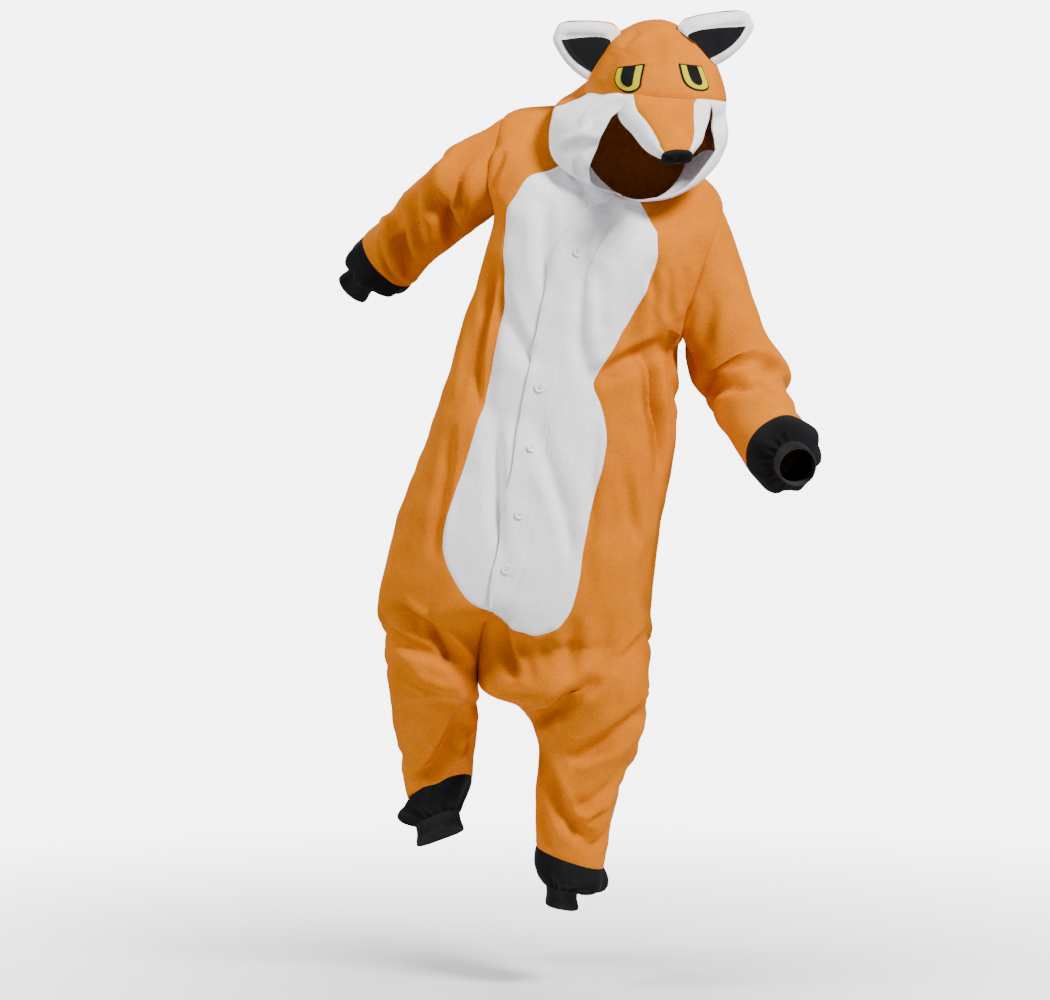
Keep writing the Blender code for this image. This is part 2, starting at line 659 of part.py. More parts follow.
def side_levels():
    """Levels at the side of the rows that the fronts and backs share, from the ankle to the neck."""
    ring = (1 - np.cos(steps(0, math.pi, ARMHOLE_ROWS))) / 2
    foot = steps(0, 1, SIDE_ROWS) ** 1.3
    return np.concatenate([
        steps(0, CROTCH_SIDE, LEG_ROWS)[:-1],
        steps(CROTCH_SIDE, BELLY_FOOT_SIDE, HIP_ROWS)[:-1],
        (BELLY_FOOT_SIDE + foot * (ARMPIT - BELLY_FOOT_SIDE))[:-1],
        (ARMPIT + ring * (SHOULDER - ARMPIT))[:-1],
        steps(SHOULDER, NECK, SHOULDER_ROWS),
    ])


def centre_levels():
    """Levels of the same rows on the centre front and centre back."""
    rows = (0, CROTCH_SIDE, BELLY_FOOT_SIDE, 9, NECK)
    return np.interp(side_levels(), rows, (0, CROTCH, BELLY_FOOT, 9, NECK))


def armhole_half(level):
    """Half the turn that the armhole takes out of the side at each level."""
    middle = (ARMPIT + SHOULDER) / 2
    height = (SHOULDER - ARMPIT) / 2
    inside = np.clip(1 - ((level - middle) / height) ** 2, 0, None)
    return ARMHOLE_REACH / 2 * np.sqrt(inside)


def found_in_front(surface, x, z, turns, levels):
    """(turn, level) of the surface's point that is seen at x, z in front view."""
    (turn0, turn1), (level0, level1) = turns, levels
    for _ in range(7):
        turn, level = np.meshgrid(steps(turn0, turn1, 12), steps(level0, level1, 12))
        point = surface(turn, level)
        miss = np.hypot(point[..., 0] - x, point[..., 2] - z)
        best = np.unravel_index(miss.argmin(), miss.shape)
        turn_reach, level_reach = (turn1 - turn0) / 8, (level1 - level0) / 8
        turn0 = np.clip(turn[best] - turn_reach, *turns)
        turn1 = np.clip(turn[best] + turn_reach, *turns)
        level0 = np.clip(level[best] - level_reach, *levels)
        level1 = np.clip(level[best] + level_reach, *levels)
    return turn[best], level[best]


@functools.cache
def belly_outline(side):
    """The belly panel's edge on the body's surface: its rows' levels at the side, and its points."""
    rows = np.array(BELLY_EDGE[side], float)
    found = [
        found_in_front(lambda u, v: body(side, u, v), x * MM, z * MM, (0, 0.48), (CROTCH + 1, NECK))
        for row, x, z in rows
    ]
    found[0] = (0, BELLY_FOOT)
    found[-1] = (found[-1][0], NECK)
    return rows[:, 0], np.array([(turn, height, 0) for turn, height in found])


def belly_edge(side, level):
    """(turns, levels) of the belly panel's edge, in the rows that meet the side at these levels."""
    rows, points = belly_outline(side)
    curve = loft(points[:, None], np.interp(level, rows, range(len(rows))))
    return curve[:, 0].clip(0), curve[:, 1]


def across(start, end, shares, bend=1):
    """Rows of (turn, level) pairs between two edges; bend makes the level change sooner."""
    (turn0, level0), (turn1, level1) = start, end
    turn = turn0[:, None] * (1 - shares) + turn1[:, None] * shares
    drop = 1 - (1 - shares) ** bend
    level = level0[:, None] * (1 - drop) + level1[:, None] * drop
    return turn, level


def body_pieces():
    side_level = side_levels()
    centre_level = centre_levels()
    foot = LEG_ROWS + HIP_ROWS
    armhole = armhole_half(side_level)
    pieces = []
    for side, sign in SIDES.items():
        edge = belly_edge(side, side_level[foot:])
        inner = [
            np.concatenate([np.zeros(foot), edge[0]]),
            np.concatenate([centre_level[:foot], edge[1]]),
        ]
        centre_front = (np.zeros_like(edge[0]), centre_level[foot:])
        centre_back = (np.ones_like(centre_level), centre_level)
        grids = {
            "front": body(
                side,
                *across(inner, (0.5 - armhole, side_level), steps(0, 1, FRONT_COLUMNS), FRONT_BEND),
            ),
            "belly": body(side, *across(centre_front, edge, belly_shares(side))),
            "back": body(
                side, *across((0.5 + armhole, side_level), centre_back, steps(0, 1, BACK_COLUMNS))
            ),
        }
        for part, grid in grids.items():
            # Columns run so that the normals point out of the garment.
            grid = grid[:, ::-1] if sign < 0 else grid
            fleece = "white_fleece" if part == "belly" else "orange_fleece"
            pieces.append(Piece(f"{part}_{side}", grid, fleece, FLEECE))
    return pieces


def belly_shares(side):
    """Where the belly panel's columns lie in each row, from the centre front (0) to its edge (1).

    The second column is the edge of the button placket, half its width from the centre front."""
    foot = LEG_ROWS + HIP_ROWS
    centre = centre_levels()[foot:]
    edge = belly_edge(side, side_levels()[foot:])
    wide = body(side, *across((np.zeros_like(centre), centre), edge, steps(0, 1, 12)))
    length = np.linalg.norm(np.diff(wide, axis=1), axis=2).sum(1)
    first = np.clip(PLACKET_WIDTH / 2 / np.maximum(length, MM), 0, 1 / BELLY_COLUMNS)[:, None]
    rest = first + (1 - first) * steps(0, 1, BELLY_COLUMNS - 1)
    return np.concatenate([np.zeros((len(first), 1)), rest], 1)


def armhole_ring(side):
    """Points round the armhole: from the armpit up its front edge and down its back edge."""
    levels = side_levels()
    first = LEG_ROWS + HIP_ROWS + SIDE_ROWS
    rim = levels[first:first + ARMHOLE_ROWS + 1]
    half = armhole_half(rim)
    front = body(side, 0.5 - half, rim)
    back = body(side, 0.5 + half, rim)
    return np.concatenate([front, back[-2:0:-1]])


def tube_pieces():
    """Sleeves, bands and cuffs."""
    pieces = []
    for side in SIDES:
        sign = SIDES[side]
        ring = armhole_ring(side)
        turn = np.arange(len(ring)) / len(ring)
        rings = [ring] + sleeve_rings(side, turn)
        count = len(rings) - 1
        cuts = (
            (f"sleeve_{side}", 0, count - 3, "orange_fleece", FLEECE),
            (f"wrist_band_{side}", count - 3, count - 1, "black_fleece", FLEECE),
            (f"wrist_cuff_{side}", count - 1, count, "black_rib", RIB),
        )
        for name, low, high, material, thickness in cuts:
            level = steps(low, high, (high - low) * TUBE_ROWS)
            grid = tube_grid(rings, level)
            if sign > 0:
                grid = grid[:, ::-1]
            pieces.append(Piece(name, grid, material, thickness, closed=True))
        sections = marks(ANKLE_SECTIONS[side])
        turn = ankle_turns()
        rings = []
        for section in sections:
            middle = (section[0] + section[2]) / 2
            middle[1] = (section[1][1] + section[3][1]) / 2
            rings.append(round_section(turn, section, middle, 0.92))
        cuts = (
            (f"ankle_band_{side}", 0, 2, "black_fleece", FLEECE),
            (f"ankle_cuff_{side}", 2, 3, "black_rib", RIB),
        )
        for name, low, high, material, thickness in cuts:
            grid = tube_grid(rings, steps(low, high, (high - low) * TUBE_ROWS))
            if sign > 0:
                grid = grid[:, ::-1]
            pieces.append(Piece(name, grid, material, thickness, closed=True))
    return pieces


def tube_grid(rings, levels):
    rings = np.array(rings)
    return np.array([loft(rings, np.full(rings.shape[1], level)) for level in levels])


def ankle_turns():
    """Turns of the columns round an ankle, the same as the front's and the back's."""
    front = steps(0, 0.5, FRONT_COLUMNS)
    back = steps(1, 0.5, BACK_COLUMNS)
    return np.concatenate([front, back[::-1][1:-1]])


# ---- hood -----------------------------------------------------------------------------------------
def neck_shares(side):
    """Where the seam points of the body's neckline lie, from the centre front to the side."""
    edge = belly_edge(side, np.array([NECK]))[0][0] * 2
    belly = belly_shares(side)[-1]
    front = edge + (1 - edge) * steps(0, 1, FRONT_COLUMNS)
    return np.concatenate([belly * edge, front[1:]])


def hood_pieces():
    pieces = []
    for side in SIDES:
        sign = SIDES[side]
        opening = np.array(FACE_EDGE[side]) / 360
        shares = neck_shares(side)
        cheek_levels = np.array(CHEEK_LEVELS, float)
        edge = np.interp(cheek_levels, range(HOOD_SEAM + 1), opening)
        behind = np.full_like(edge, CHEEK_BACK)
        cheek = across((edge, cheek_levels), (behind, cheek_levels), shares)
        grid = hood(sign * cheek[0], cheek[1])
        if sign < 0:
            grid = grid[:, ::-1]
        pieces.append(Piece(f"hood_cheek_{side}", grid, "white_fleece", FLEECE))

        seam_turn = np.concatenate([
            behind[:-1],
            cheek[0][-1, :0:-1],
            steps(opening[-1], 0, BROW_COLUMNS)[:-1],
            np.zeros(CROWN_ROWS + 1),
        ])
        seam_cells = len(shares) - 1 + BROW_COLUMNS
        seam_level = np.concatenate([
            cheek_levels[:-1],
            np.full(seam_cells, float(HOOD_SEAM)),
            steps(HOOD_SEAM, HOOD_TOP, CROWN_ROWS),
        ])
        corner = len(cheek_levels) - 1
        nape = np.interp(
            np.arange(len(seam_turn)),
            (0, corner, corner + seam_cells, len(seam_turn) - 1),
            (0, HOOD_SEAM, NAPE_BEND, HOOD_TOP),
        )
        # Rows leave the seam upwards and then run back.
        share = steps(0, 1, BACK_COLUMNS)
        back = share**CROWN_BEND
        up = 1 - (1 - share) ** CROWN_BEND
        crown = (
            seam_turn[:, None] * (1 - back) + 0.5 * back,
            seam_level[:, None] * (1 - up) + nape[:, None] * up,
        )
        grid = hood(sign * crown[0], crown[1])
        below_top = len(seam_turn) - CROWN_ROWS
        normal = outward_normal(hood, sign * crown[0][:below_top], crown[1][:below_top])
        if sign < 0:
            grid = grid[:, ::-1]
            normal = normal[:, ::-1]
        pieces.append(Piece(f"hood_crown_{side}", grid, "orange_fleece", FLEECE, normal=normal))
    return pieces


# ---- muzzle, eyes and ears ------------------------------------------------------------------------
def muzzle_pieces():
    """An orange top and two white sides, which meet under the muzzle, and the black nose."""
    last = len(MUZZLE_SECTIONS) - 1
    levels = steps(0, last, MUZZLE_ROWS)
    reach = np.array([row[4:] for row in MUZZLE_SECTIONS])
    left, right = (np.interp(levels, range(last + 1), column) for column in reach.T)
    opening = [FACE_EDGE[side][-1] / 360 for side in SIDES]
    turns = np.concatenate([steps(-opening[0], 0, BROW_COLUMNS), steps(0, opening[1], BROW_COLUMNS)[1:]])
    seam = hood(turns, HOOD_SEAM)
    seam[0] += (seam[1] - seam[0]) * CORNER_SHIFT
    half = np.full_like(levels, 0.5)
    spans = {
        "muzzle_top": (-left, right, 2 * BROW_COLUMNS - 1),
        "muzzle_side_right": (right, half, MUZZLE_COLUMNS + 1),
        "muzzle_side_left": (half, 1 - left, MUZZLE_COLUMNS),
    }
    grids = {}
    around = []
    for name, (start, end, cells) in spans.items():
        turn, level = across((start, levels), (end, levels), steps(0, 1, cells))
        square = np.interp(level, (SQUARED, last), (MUZZLE_SQUARENESS, NOSE_SQUARENESS))
        grids[name] = muzzle(MUZZLE_SECTIONS, turn, level, square)
        around.append(turn[-1, :-1])
    grids["muzzle_top"][0] = seam[:-1]
    grids["muzzle_side_right"][0, :2] = seam[-2:]
    grids["muzzle_side_left"][0, -1] = seam[0]
    wall = np.full((len(levels), 1, 1), PADDING)
    wall[0] = FLEECE  # at the forehead seam
    wall[-1] = NOSE_WALL
    pieces = [
        Piece(name, grid[:, ::-1], "orange_fleece" if name == "muzzle_top" else "white_fleece", wall)
        for name, grid in grids.items()
    ]
    turn, level = np.meshgrid(np.concatenate(around), steps(0, len(NOSE_SECTIONS) - 1, NOSE_ROWS))
    nose = muzzle(NOSE_SECTIONS, turn, level, NOSE_SQUARENESS)
    pieces.append(Piece("nose", nose[:, ::-1], "black_fleece", NOSE_WALL, closed=True))
    return pieces


def rise_over(points, normal, name):
    """How far a solid's outside stands above any of the points, along their normals."""
    mesh = bpy.data.objects[name].data
    tree = BVHTree.FromPolygons([v.co for v in mesh.vertices], [p.vertices for p in mesh.polygons])
    reach = 20 * MM
    rise = 0
    for point, out in zip(points.reshape(-1, 3), normal.reshape(-1, 3)):
        distance = tree.ray_cast(Vector(point + out * reach), Vector(-out), 2 * reach)[3]
        if distance is not None:
            rise = max(rise, reach - distance)
    return rise


def eyes():
    """Each eye is three layers of felt: a black edge, a yellow iris and a black pupil."""
    for side, corners in EYES.items():
        turns = (-0.2, 0.05) if side == "left" else (-0.05, 0.2)
        found = [found_in_front(hood, x * MM, z * MM, turns, (HOOD_SEAM, HOOD_TOP)) for x, z in corners]
        top_left, top_right, low_right, low_left = np.array(found)
        for number, (layer, material, width, top, bottom) in enumerate(EYE_LAYERS):
            down = np.array(EYE_ROWS)[:, None]
            narrowed = np.sqrt(1 - down**EYE_ROUNDING)
            u = 0.5 + 0.5 * width * narrowed * steps(-1, 1, EYE_COLUMNS)
            v = (top + (bottom - top) * down)[..., None]
            u = u[..., None]
            place = (top_left * (1 - u) + top_right * u) * (1 - v) + (low_left * (1 - u) + low_right * u) * v
            turn, level = place[..., 0], place[..., 1]
            normal = outward_normal(hood, turn, level)
            point = hood(turn, level)
            if number == 0:
                rise = rise_over(point, normal, f"hood_crown_{side}")
            low = rise + EYE_LIFT + number * (FELT + SEAM_GAP)
            slab(f"eye_{layer}_{side}", point + normal * (low + FELT), point + normal * low, material)


def ears():
    """Stuffed ears: an orange back with a black tip, a white front and a black inside on it."""
    b = np.array(EAR_COLUMNS)
    for side, (base_top, base_side, tip_top, tip_side) in EARS.items():
        turns = (-0.35, -0.1) if side == "left" else (0.1, 0.35)
        ends = [
            found_in_front(hood, x * MM, z * MM, turns, (HOOD_SEAM, HOOD_TOP))
            for x, z in (base_top, base_side)
        ]
        ends = np.array(ends)
        share = ((b + 1) / 2)[:, None]
        turn, level = (ends[0] * (1 - share) + ends[1] * share).T
        tip = marks(tip_top) * (1 - share) + marks(tip_side) * share
        foot = hood(turn, level) + outward_normal(hood, turn, level) * EAR_GAP
        swing = EAR_FOOT * np.sqrt(1 - 0.9 * b**2) * np.sign(turn)
        feet = {}
        for face, sign in (("front", -1), ("back", 1)):
            edge = turn + sign * swing
            feet[face] = hood(edge, level) + outward_normal(hood, edge, level) * EAR_GAP - foot
        forward = unit(np.cross(tip[0] - foot[0], foot[-1] - foot[0]))
        forward = forward * -np.sign(forward[1])
        bow = unit(foot[-1] - foot[0])

        def layer(a, face, low, high):
            """The ear's points at heights a, as far out of its middle as low and high say."""
            a = np.array(a)[:, None, None]
            down = EAR_BOW * (4 * a * (1 - a)) * share
            up = EAR_RISE * (2.6 * np.sqrt(a) * (1 - a)) * (1 - share)
            middle = foot * (1 - a) + tip * a + bow * (down - up)
            depth = EAR_DEPTH * (0.3 + 0.7 * np.sqrt(1 - b**2))[:, None] * (1 - 0.5 * a)
            sign = 1 if face == "front" else -1
            near_foot = (1 - a / 0.2).clip(0)
            full = feet[face] * near_foot + forward * sign * depth * (1 - near_foot)
            rim = middle + forward * sign * SEAM_GAP / 2
            return [rim + full * share_out + forward * sign * lift for share_out, lift in (low, high)]

        flat, round_out = (0, 0), (1, 0)
        split = EAR_ROWS.index(EAR_SPLIT)
        parts = (
            (f"ear_back_{side}", EAR_ROWS[:split + 1], "back", "orange_fleece"),
            (f"ear_tip_{side}", EAR_ROWS[split:], "back", "black_fleece"),
            (f"ear_front_{side}", EAR_ROWS, "front", "white_fleece"),
        )
        for name, rows, face, material in parts:
            rows = list(rows)
            if "tip" in name:
                rows[0] += SEAM_GAP / EAR_LENGTH
            inner, outer = layer(rows, face, flat, round_out)
            slab(name, outer, inner, material)
        low, high = (1, SEAM_GAP * 1.5), (1, SEAM_GAP * 1.5 + FLEECE)
        inner, outer = layer(EAR_ROWS[1:-1], "front", low, high)
        slab(f"ear_inner_{side}", outer[:, 1:-1], inner[:, 1:-1], "black_fleece")


# ---- placket and buttons --------------------------------------------------------------------------
def placket(pieces):
    """The button placket, a strip over both belly panels' edges; returns its face and normals."""
    left, right = (next(p for p in pieces if p.name == f"belly_{side}") for side in SIDES)
    grid = np.stack([left.grid[1:-1, -2], right.grid[1:-1, 0], right.grid[1:-1, 1]], 1)
    normal = np.stack([left.normal[1:-1, -2], right.normal[1:-1, 0], right.normal[1:-1, 1]], 1)
    face = grid + normal * (SEAM_GAP + FLEECE)
    slab("placket", face, grid + normal * SEAM_GAP, "white_fleece")
    return face[:, 1], normal[:, 1]


def buttons(line, normals):
    """Flat buttons with a raised rim, on the line down the middle of the placket."""
    angles = np.arange(BUTTON_SEGMENTS) * 2 * math.pi / BUTTON_SEGMENTS
    for number, height in enumerate(BUTTONS, 1):
        place = [np.interp(height * MM, line[:, 2], line[:, k]) for k in range(3)]
        out = unit(np.array([np.interp(height * MM, line[:, 2], normals[:, k]) for k in range(3)]))
        aside = unit(np.cross(out, (0, 0, 1)))
        ring = np.outer(np.cos(angles), aside) + np.outer(np.sin(angles), np.cross(aside, out))
        edge = place + ring * BUTTON_RADIUS
        lift = BUTTON_LIFT + rise_over(edge, np.broadcast_to(out, edge.shape), "placket")
        sides = [
            np.array([
                place + out * (lift + rise * BUTTON_THICKNESS) + ring * radius * BUTTON_RADIUS
                for radius, rise in profile
            ])
            for profile in (BUTTON_FACE, BUTTON_BACK)
        ]
        slab(f"button_{number}", *sides, "button_plastic", closed=True)


def build():
    for thing in list(bpy.data.objects):
        bpy.data.objects.remove(thing)
    pieces = body_pieces() + tube_pieces() + hood_pieces() + muzzle_pieces()
    press_creases(pieces)
    make_walls(pieces)
    eyes()
    ears()
    buttons(*placket(pieces))


build()
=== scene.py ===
"""The looks of a fox onesie (kigurumi) of fleece: metres, +Z up, +X to the viewer's right, front to -Y.

Every cloth piece is a thin shell on the same smooth surfaces as its solid, cut into many more
cells, with its folds, gathers, seams and stitching. "left" and "right" are the viewer's.
"""

import functools
import itertools
import math

import bmesh
import bpy
import numpy as np
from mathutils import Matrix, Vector
from mathutils.bvhtree import BVHTree


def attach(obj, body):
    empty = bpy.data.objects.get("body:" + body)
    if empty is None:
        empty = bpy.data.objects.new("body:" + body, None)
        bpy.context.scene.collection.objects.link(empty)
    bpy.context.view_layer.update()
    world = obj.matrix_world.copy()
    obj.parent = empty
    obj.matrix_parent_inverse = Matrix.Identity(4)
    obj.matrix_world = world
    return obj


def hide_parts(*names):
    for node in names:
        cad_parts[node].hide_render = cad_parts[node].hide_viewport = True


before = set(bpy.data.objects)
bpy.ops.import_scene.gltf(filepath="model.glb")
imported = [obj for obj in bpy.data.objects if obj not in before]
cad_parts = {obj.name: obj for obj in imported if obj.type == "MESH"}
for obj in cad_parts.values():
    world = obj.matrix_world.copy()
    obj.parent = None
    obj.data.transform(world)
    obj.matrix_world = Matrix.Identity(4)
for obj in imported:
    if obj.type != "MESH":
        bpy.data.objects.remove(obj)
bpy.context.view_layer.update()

# ---- sizes, in metres ----
FLEECE = 0.0024  # thickness of the fleece
RIB = 0.0020  # thickness of the rib knit
PADDING = 0.0060  # thickness of the stuffed muzzle's wall
NOSE_WALL = 0.0030
SEAM_GAP = 0.0003  # clearance between neighbouring pieces
SEAM_DIP = 0.0016  # how far a panel sinks at its seams, and how wide this is
SEAM_WIDTH = 0.0045
PLACKET_WIDTH = 0.040
BUTTON_RADIUS = 0.0085
BUTTON_THICKNESS = 0.0028
EAR_DEPTH = 0.012
MM = 0.001

# ---- number of cells along and across the pieces ----
FINE = 7  # cells of a panel for each of its solid's, along it
WIDE = 9  # and across it
LEG_ROWS = 11 * FINE
HIP_ROWS = 4 * FINE
SIDE_ROWS = 14 * FINE
ARMHOLE_ROWS = 7 * FINE
SHOULDER_ROWS = 3 * FINE
FRONT_COLUMNS = 7 * WIDE
PLACKET_COLUMNS = 5
BELLY_COLUMNS = 4 * WIDE
BACK_COLUMNS = 9 * WIDE
TUBE_ROWS = 8  # between two sections of a sleeve or band
BAND_ROWS = 2 * TUBE_ROWS
CHEEK_ROWS = 8 * FINE
CHEEK_LEVELS = (0, 0.8, 1.4, 1.8, 2.2, 2.8, 3.5, 4.2, 5)
CROWN_ROWS = 6 * FINE
BROW_COLUMNS = 3 * FINE
MUZZLE_ROWS = 36
MUZZLE_COLUMNS = 40
NOSE_ROWS = 16
NOSE_COLUMNS = 72
RIBS = 84  # round a cuff
RIB_CELLS = 5  # of each rib
CUFF_ROWS = 14

# ---- the body: levels are counted from the ankle seam (0) up to the neck ----
CROTCH = 4  # level where both legs, both fronts and both backs meet
CROTCH_SIDE = 3.4  # level where the row through that point meets the side
BELLY_FOOT = 6  # level where the white belly panel ends on the centre front
BELLY_FOOT_SIDE = 4.3  # level where the row through that point meets the side
EVEN = 9  # level from which the rows run level from the centre to the side
ARMPIT = 13
SHOULDER = 15  # level of the outer end of the shoulder seam
NECK = 17

# Torso, from the level above the crotch: marks on the left side, right side, centre front, centre back.
TORSO = (
    #  left side           right side         centre front        centre back
    ((-432, 0, -796), (52, 0, -806), (-247, -142, -800), (-250, 136, -818)),
    ((-436, 0, -745), (54, 0, -763), (-237, -150, -753), (-221, 140, -744)),
    ((-425, 0, -675), (57, 0, -705), (-207, -162, -682), (-196, 150, -660)),
    ((-402, 0, -590), (64, 0, -622), (-188, -160, -594), (-178, 150, -552)),
    ((-364, 0, -486), (83, 0, -535), (-173, -152, -514), (-147, 145, -465)),
    ((-322, 0, -364), (97, 0, -436), (-157, -142, -405), (-117, 140, -358)),
    ((-280, 0, -236), (98, 0, -342), (-136, -138, -300), (-80, 135, -245)),
    ((-244, 0, -125), (96, 0, -290), (-118, -138, -225), (-55, 130, -155)),
    ((-227, 0, -41), (110, 0, -263), (-103, -138, -167), (-36, 125, -77)),
    ((-239, 0, 43), (162, 0, -140), (-73, -130, -100), (-14, 118, 15)),
    ((-212, 0, 128), (184, 0, -36), (-43, -115, -63), (9, 102, 86)),
    ((-139, 5, 148), (152, 5, 13), (-19, -93, -47), (22, 86, 115)),
    ((-70, 10, 138), (116, 10, 48), (-3, -88, -23), (40, 75, 141)),
)

# How far each section of the torso bulges between its marks (less is squarer).
SQUARENESS = (1, 0.9, 0.88, 0.86, 0.86, 0.86, 0.86, 0.84, 0.82, 0.8, 0.84, 0.9, 1.0)
LIMB_SQUARENESS = 0.92  # the same for the legs and ankles
CENTRE_REACH = 0.2  # turn over which each half of the body is drawn to the line that both share

# Legs, from the ankle seam up to the crotch: marks on the inseam, front, outer side, back.
LEG_SECTIONS = {
    "left": (
        #  inseam             front               outer side          back
        ((-271, 150, -1077), (-330, 85, -1072), (-392, 150, -1120), (-335, 215, -1105)),
        ((-267, 110, -1019), (-336, 26, -1015), (-405, 110, -1023), (-342, 192, -1031)),
        ((-262, 70, -964), (-338, -25, -961), (-414, 70, -964), (-344, 165, -977)),
        ((-258, 35, -928), (-340, -65, -922), (-418, 35, -928), (-347, 140, -938)),
        ((-259, 0, -886), (-342, -104, -892), (-423, 0, -864), (-350, 125, -900)),
    ),
    "right": (
        ((-155, 0, -1177), (-98, -62, -1201), (-32, 0, -1219), (-92, 62, -1197)),
        ((-157, 0, -1085), (-84, -84, -1084), (-8, 0, -1085), (-82, 80, -1100)),
        ((-149, 0, -1000), (-62, -98, -1000), (28, 0, -1000), (-58, 95, -1014)),
        ((-185, 0, -930), (-60, -118, -930), (46, 0, -916), (-56, 116, -944)),
        ((-259, 0, -886), (-96, -137, -892), (49, 0, -853), (-91, 132, -910)),
    ),
}

# Ankles, from the ankle seam down: band seam, widest, foot of the band, then the mouth of the cuff.
ANKLE_SECTIONS = {
    "left": (
        LEG_SECTIONS["left"][0],
        ((-288, 168, -1114), (-344, 102, -1112), (-410, 168, -1150), (-350, 228, -1142)),
        ((-297, 182, -1142), (-335, 144, -1142), (-382, 182, -1170), (-342, 220, -1168)),
        ((-289, 190, -1176), (-331, 156, -1174), (-378, 190, -1206), (-338, 224, -1202)),
    ),
    "right": (
        LEG_SECTIONS["right"][0],
        ((-156, 2, -1214), (-98, -60, -1240), (-36, 2, -1254), (-94, 62, -1238)),
        ((-138, 4, -1250), (-108, -32, -1258), (-76, 4, -1264), (-106, 40, -1258)),
        ((-140, 4, -1284), (-108, -31, -1292), (-76, 4, -1294), (-106, 38, -1292)),
    ),
}

# Sleeves, from the armhole out: lower mark (x, z), upper mark (x, z), depth y, half the thickness.
# The last three sections are the widest part of the band, its foot and the mouth of the cuff.
SLEEVE_SECTIONS = {
    "left": (
        #  lower         upper         y    half
        ((-245, -49), (-274, 93), 8, 92),
        ((-274, -71), (-318, 64), 30, 84),
        ((-311, -97), (-366, 26), 60, 76),
        ((-353, -122), (-412, -16), 95, 68),
        ((-374, -146), (-441, -43), 118, 63),
        ((-390, -163), (-469, -63), 135, 60),
        ((-415, -178), (-498, -91), 152, 54),
        ((-451, -166), (-499, -118), 165, 35),
        ((-474, -187), (-521, -137), 182, 32),
    ),
    "right": (
        ((122, -301), (236, -184), 22, 86),
        ((131, -345), (265, -263), 20, 78),
        ((151, -371), (299, -322), 0, 72),
        ((162, -405), (286, -364), -50, 68),
        ((186, -454), (298, -396), -108, 65),
        ((216, -511), (308, -423), -160, 62),
        ((233, -530), (326, -444), -200, 59),
        ((258, -517), (312, -469), -230, 36),
        ((263, -524), (313, -478), -264, 32),
    ),
}

# Hood, from the neck up to the ridge over the crown: marks left, front, right, back.
# Its lower front hangs as a pouch in front of the shoulders.
HOOD_SECTIONS = (
    #  left           front             right            back
    ((-70, 10, 138), (-3, -88, -23), (116, 10, 48), (40, 75, 141)),
    ((-96, 4, 154), (-4, -112, -27), (150, -14, 66), (45, 80, 168)),
    ((-116, -14, 146), (-6, -136, -16), (174, -58, 60), (56, 113, 172)),
    ((-120, -38, 143), (24, -160, 46), (188, -54, 90), (54, 124, 198)),
    ((-100, -48, 148), (48, -166, 100), (184, -42, 134), (54, 127, 224)),
    ((-66, -30, 170), (63, -166, 142), (185, -28, 154), (56, 120, 248)),
    ((-62, -20, 202), (65, -160, 171), (177, -20, 195), (57, 108, 270)),
    ((-44, -20, 238), (71, -140, 213), (162, -20, 231), (58, 86, 290)),
    ((-13, -20, 274), (70, -105, 254), (135, -20, 272), (60, 50, 302)),
    ((60, -15, 306),) * 4,
)
# How far the left front of the hood bulges between its marks, by level (less is squarer).
LEFT_SQUARENESS = (1, 0.8, 0.5, 0.6, 0.8, 0.95)
HOOD_SQUARENESS = 0.95  # the same for the rest of the hood above its neck
HOOD_SEAM = 5  # level of the seam between the white cheeks and the orange crown
HOOD_TOP = 9
NAPE_BEND = 8.2  # level at the back of the row from the top of the forehead seam
CROWN_BEND = 1.7
CHEEK_BACK = 0.25  # turn from the front to the seam behind the cheek
# Edge of the face opening, in degrees from the front, at the levels 0 to 5.
FACE_EDGE = {"left": (0, 5, 9, 16, 24, 22), "right": (0, 20, 44, 60, 54, 42)}

# Muzzle, from the forehead seam to the nose: marks top, right, under, left, and how far the orange
# top reaches round to the left and to the right, as a share of a turn.
MUZZLE_SECTIONS = (
    #  top            right            under            left            reach left, right
    ((61, -172, 147), (147, -132, 134), (70, -105, 124), (-14, -140, 115), 0.125, 0.117),
    ((67, -216, 107), (140, -180, 95), (74, -150, 96), (8, -192, 73), 0.090, 0.120),
    ((77, -250, 68), (129, -218, 57), (83, -185, 60), (32, -226, 39), 0.090, 0.130),
    ((83, -268, 36), (109, -250, 29), (86, -222, 27), (58, -254, 23), 0.120, 0.150),
)
MUZZLE_SQUARENESS = 0.9  # how far the muzzle bulges between its marks (less is squarer)
NOSE_SQUARENESS = 0.5  # and the nose
SQUARED = 2.2  # level from which the muzzle gets squarer towards the nose
MUZZLE_LEFT_REACH = 0.13  # the most that the orange top reaches round to the left
SEAM_EASE = 16  # columns over which the muzzle's sides are eased onto the forehead seam
BROW_DIP = 0.12  # how much of a seam's dip shows at the forehead seam
# Nose, from the muzzle's end to its tip.
NOSE_SECTIONS = (
    MUZZLE_SECTIONS[-1],
    ((83, -284, 28), (107, -266, 20), (85, -236, 17), (60, -268, 15)),
    ((83, -276, 13),) * 4,
)

# Ears: base marks in front view (x, z) at the top and at the side of the hood, then the tip's two
# corners (x, y, z).
EARS = {
    #  base top    base side    tip top          tip side
    "left": ((-5, 273), (-61, 189), (-116, -60, 287), (-127, -58, 261)),
    "right": ((95, 273), (163, 212), (221, -60, 309), (234, -58, 284)),
}
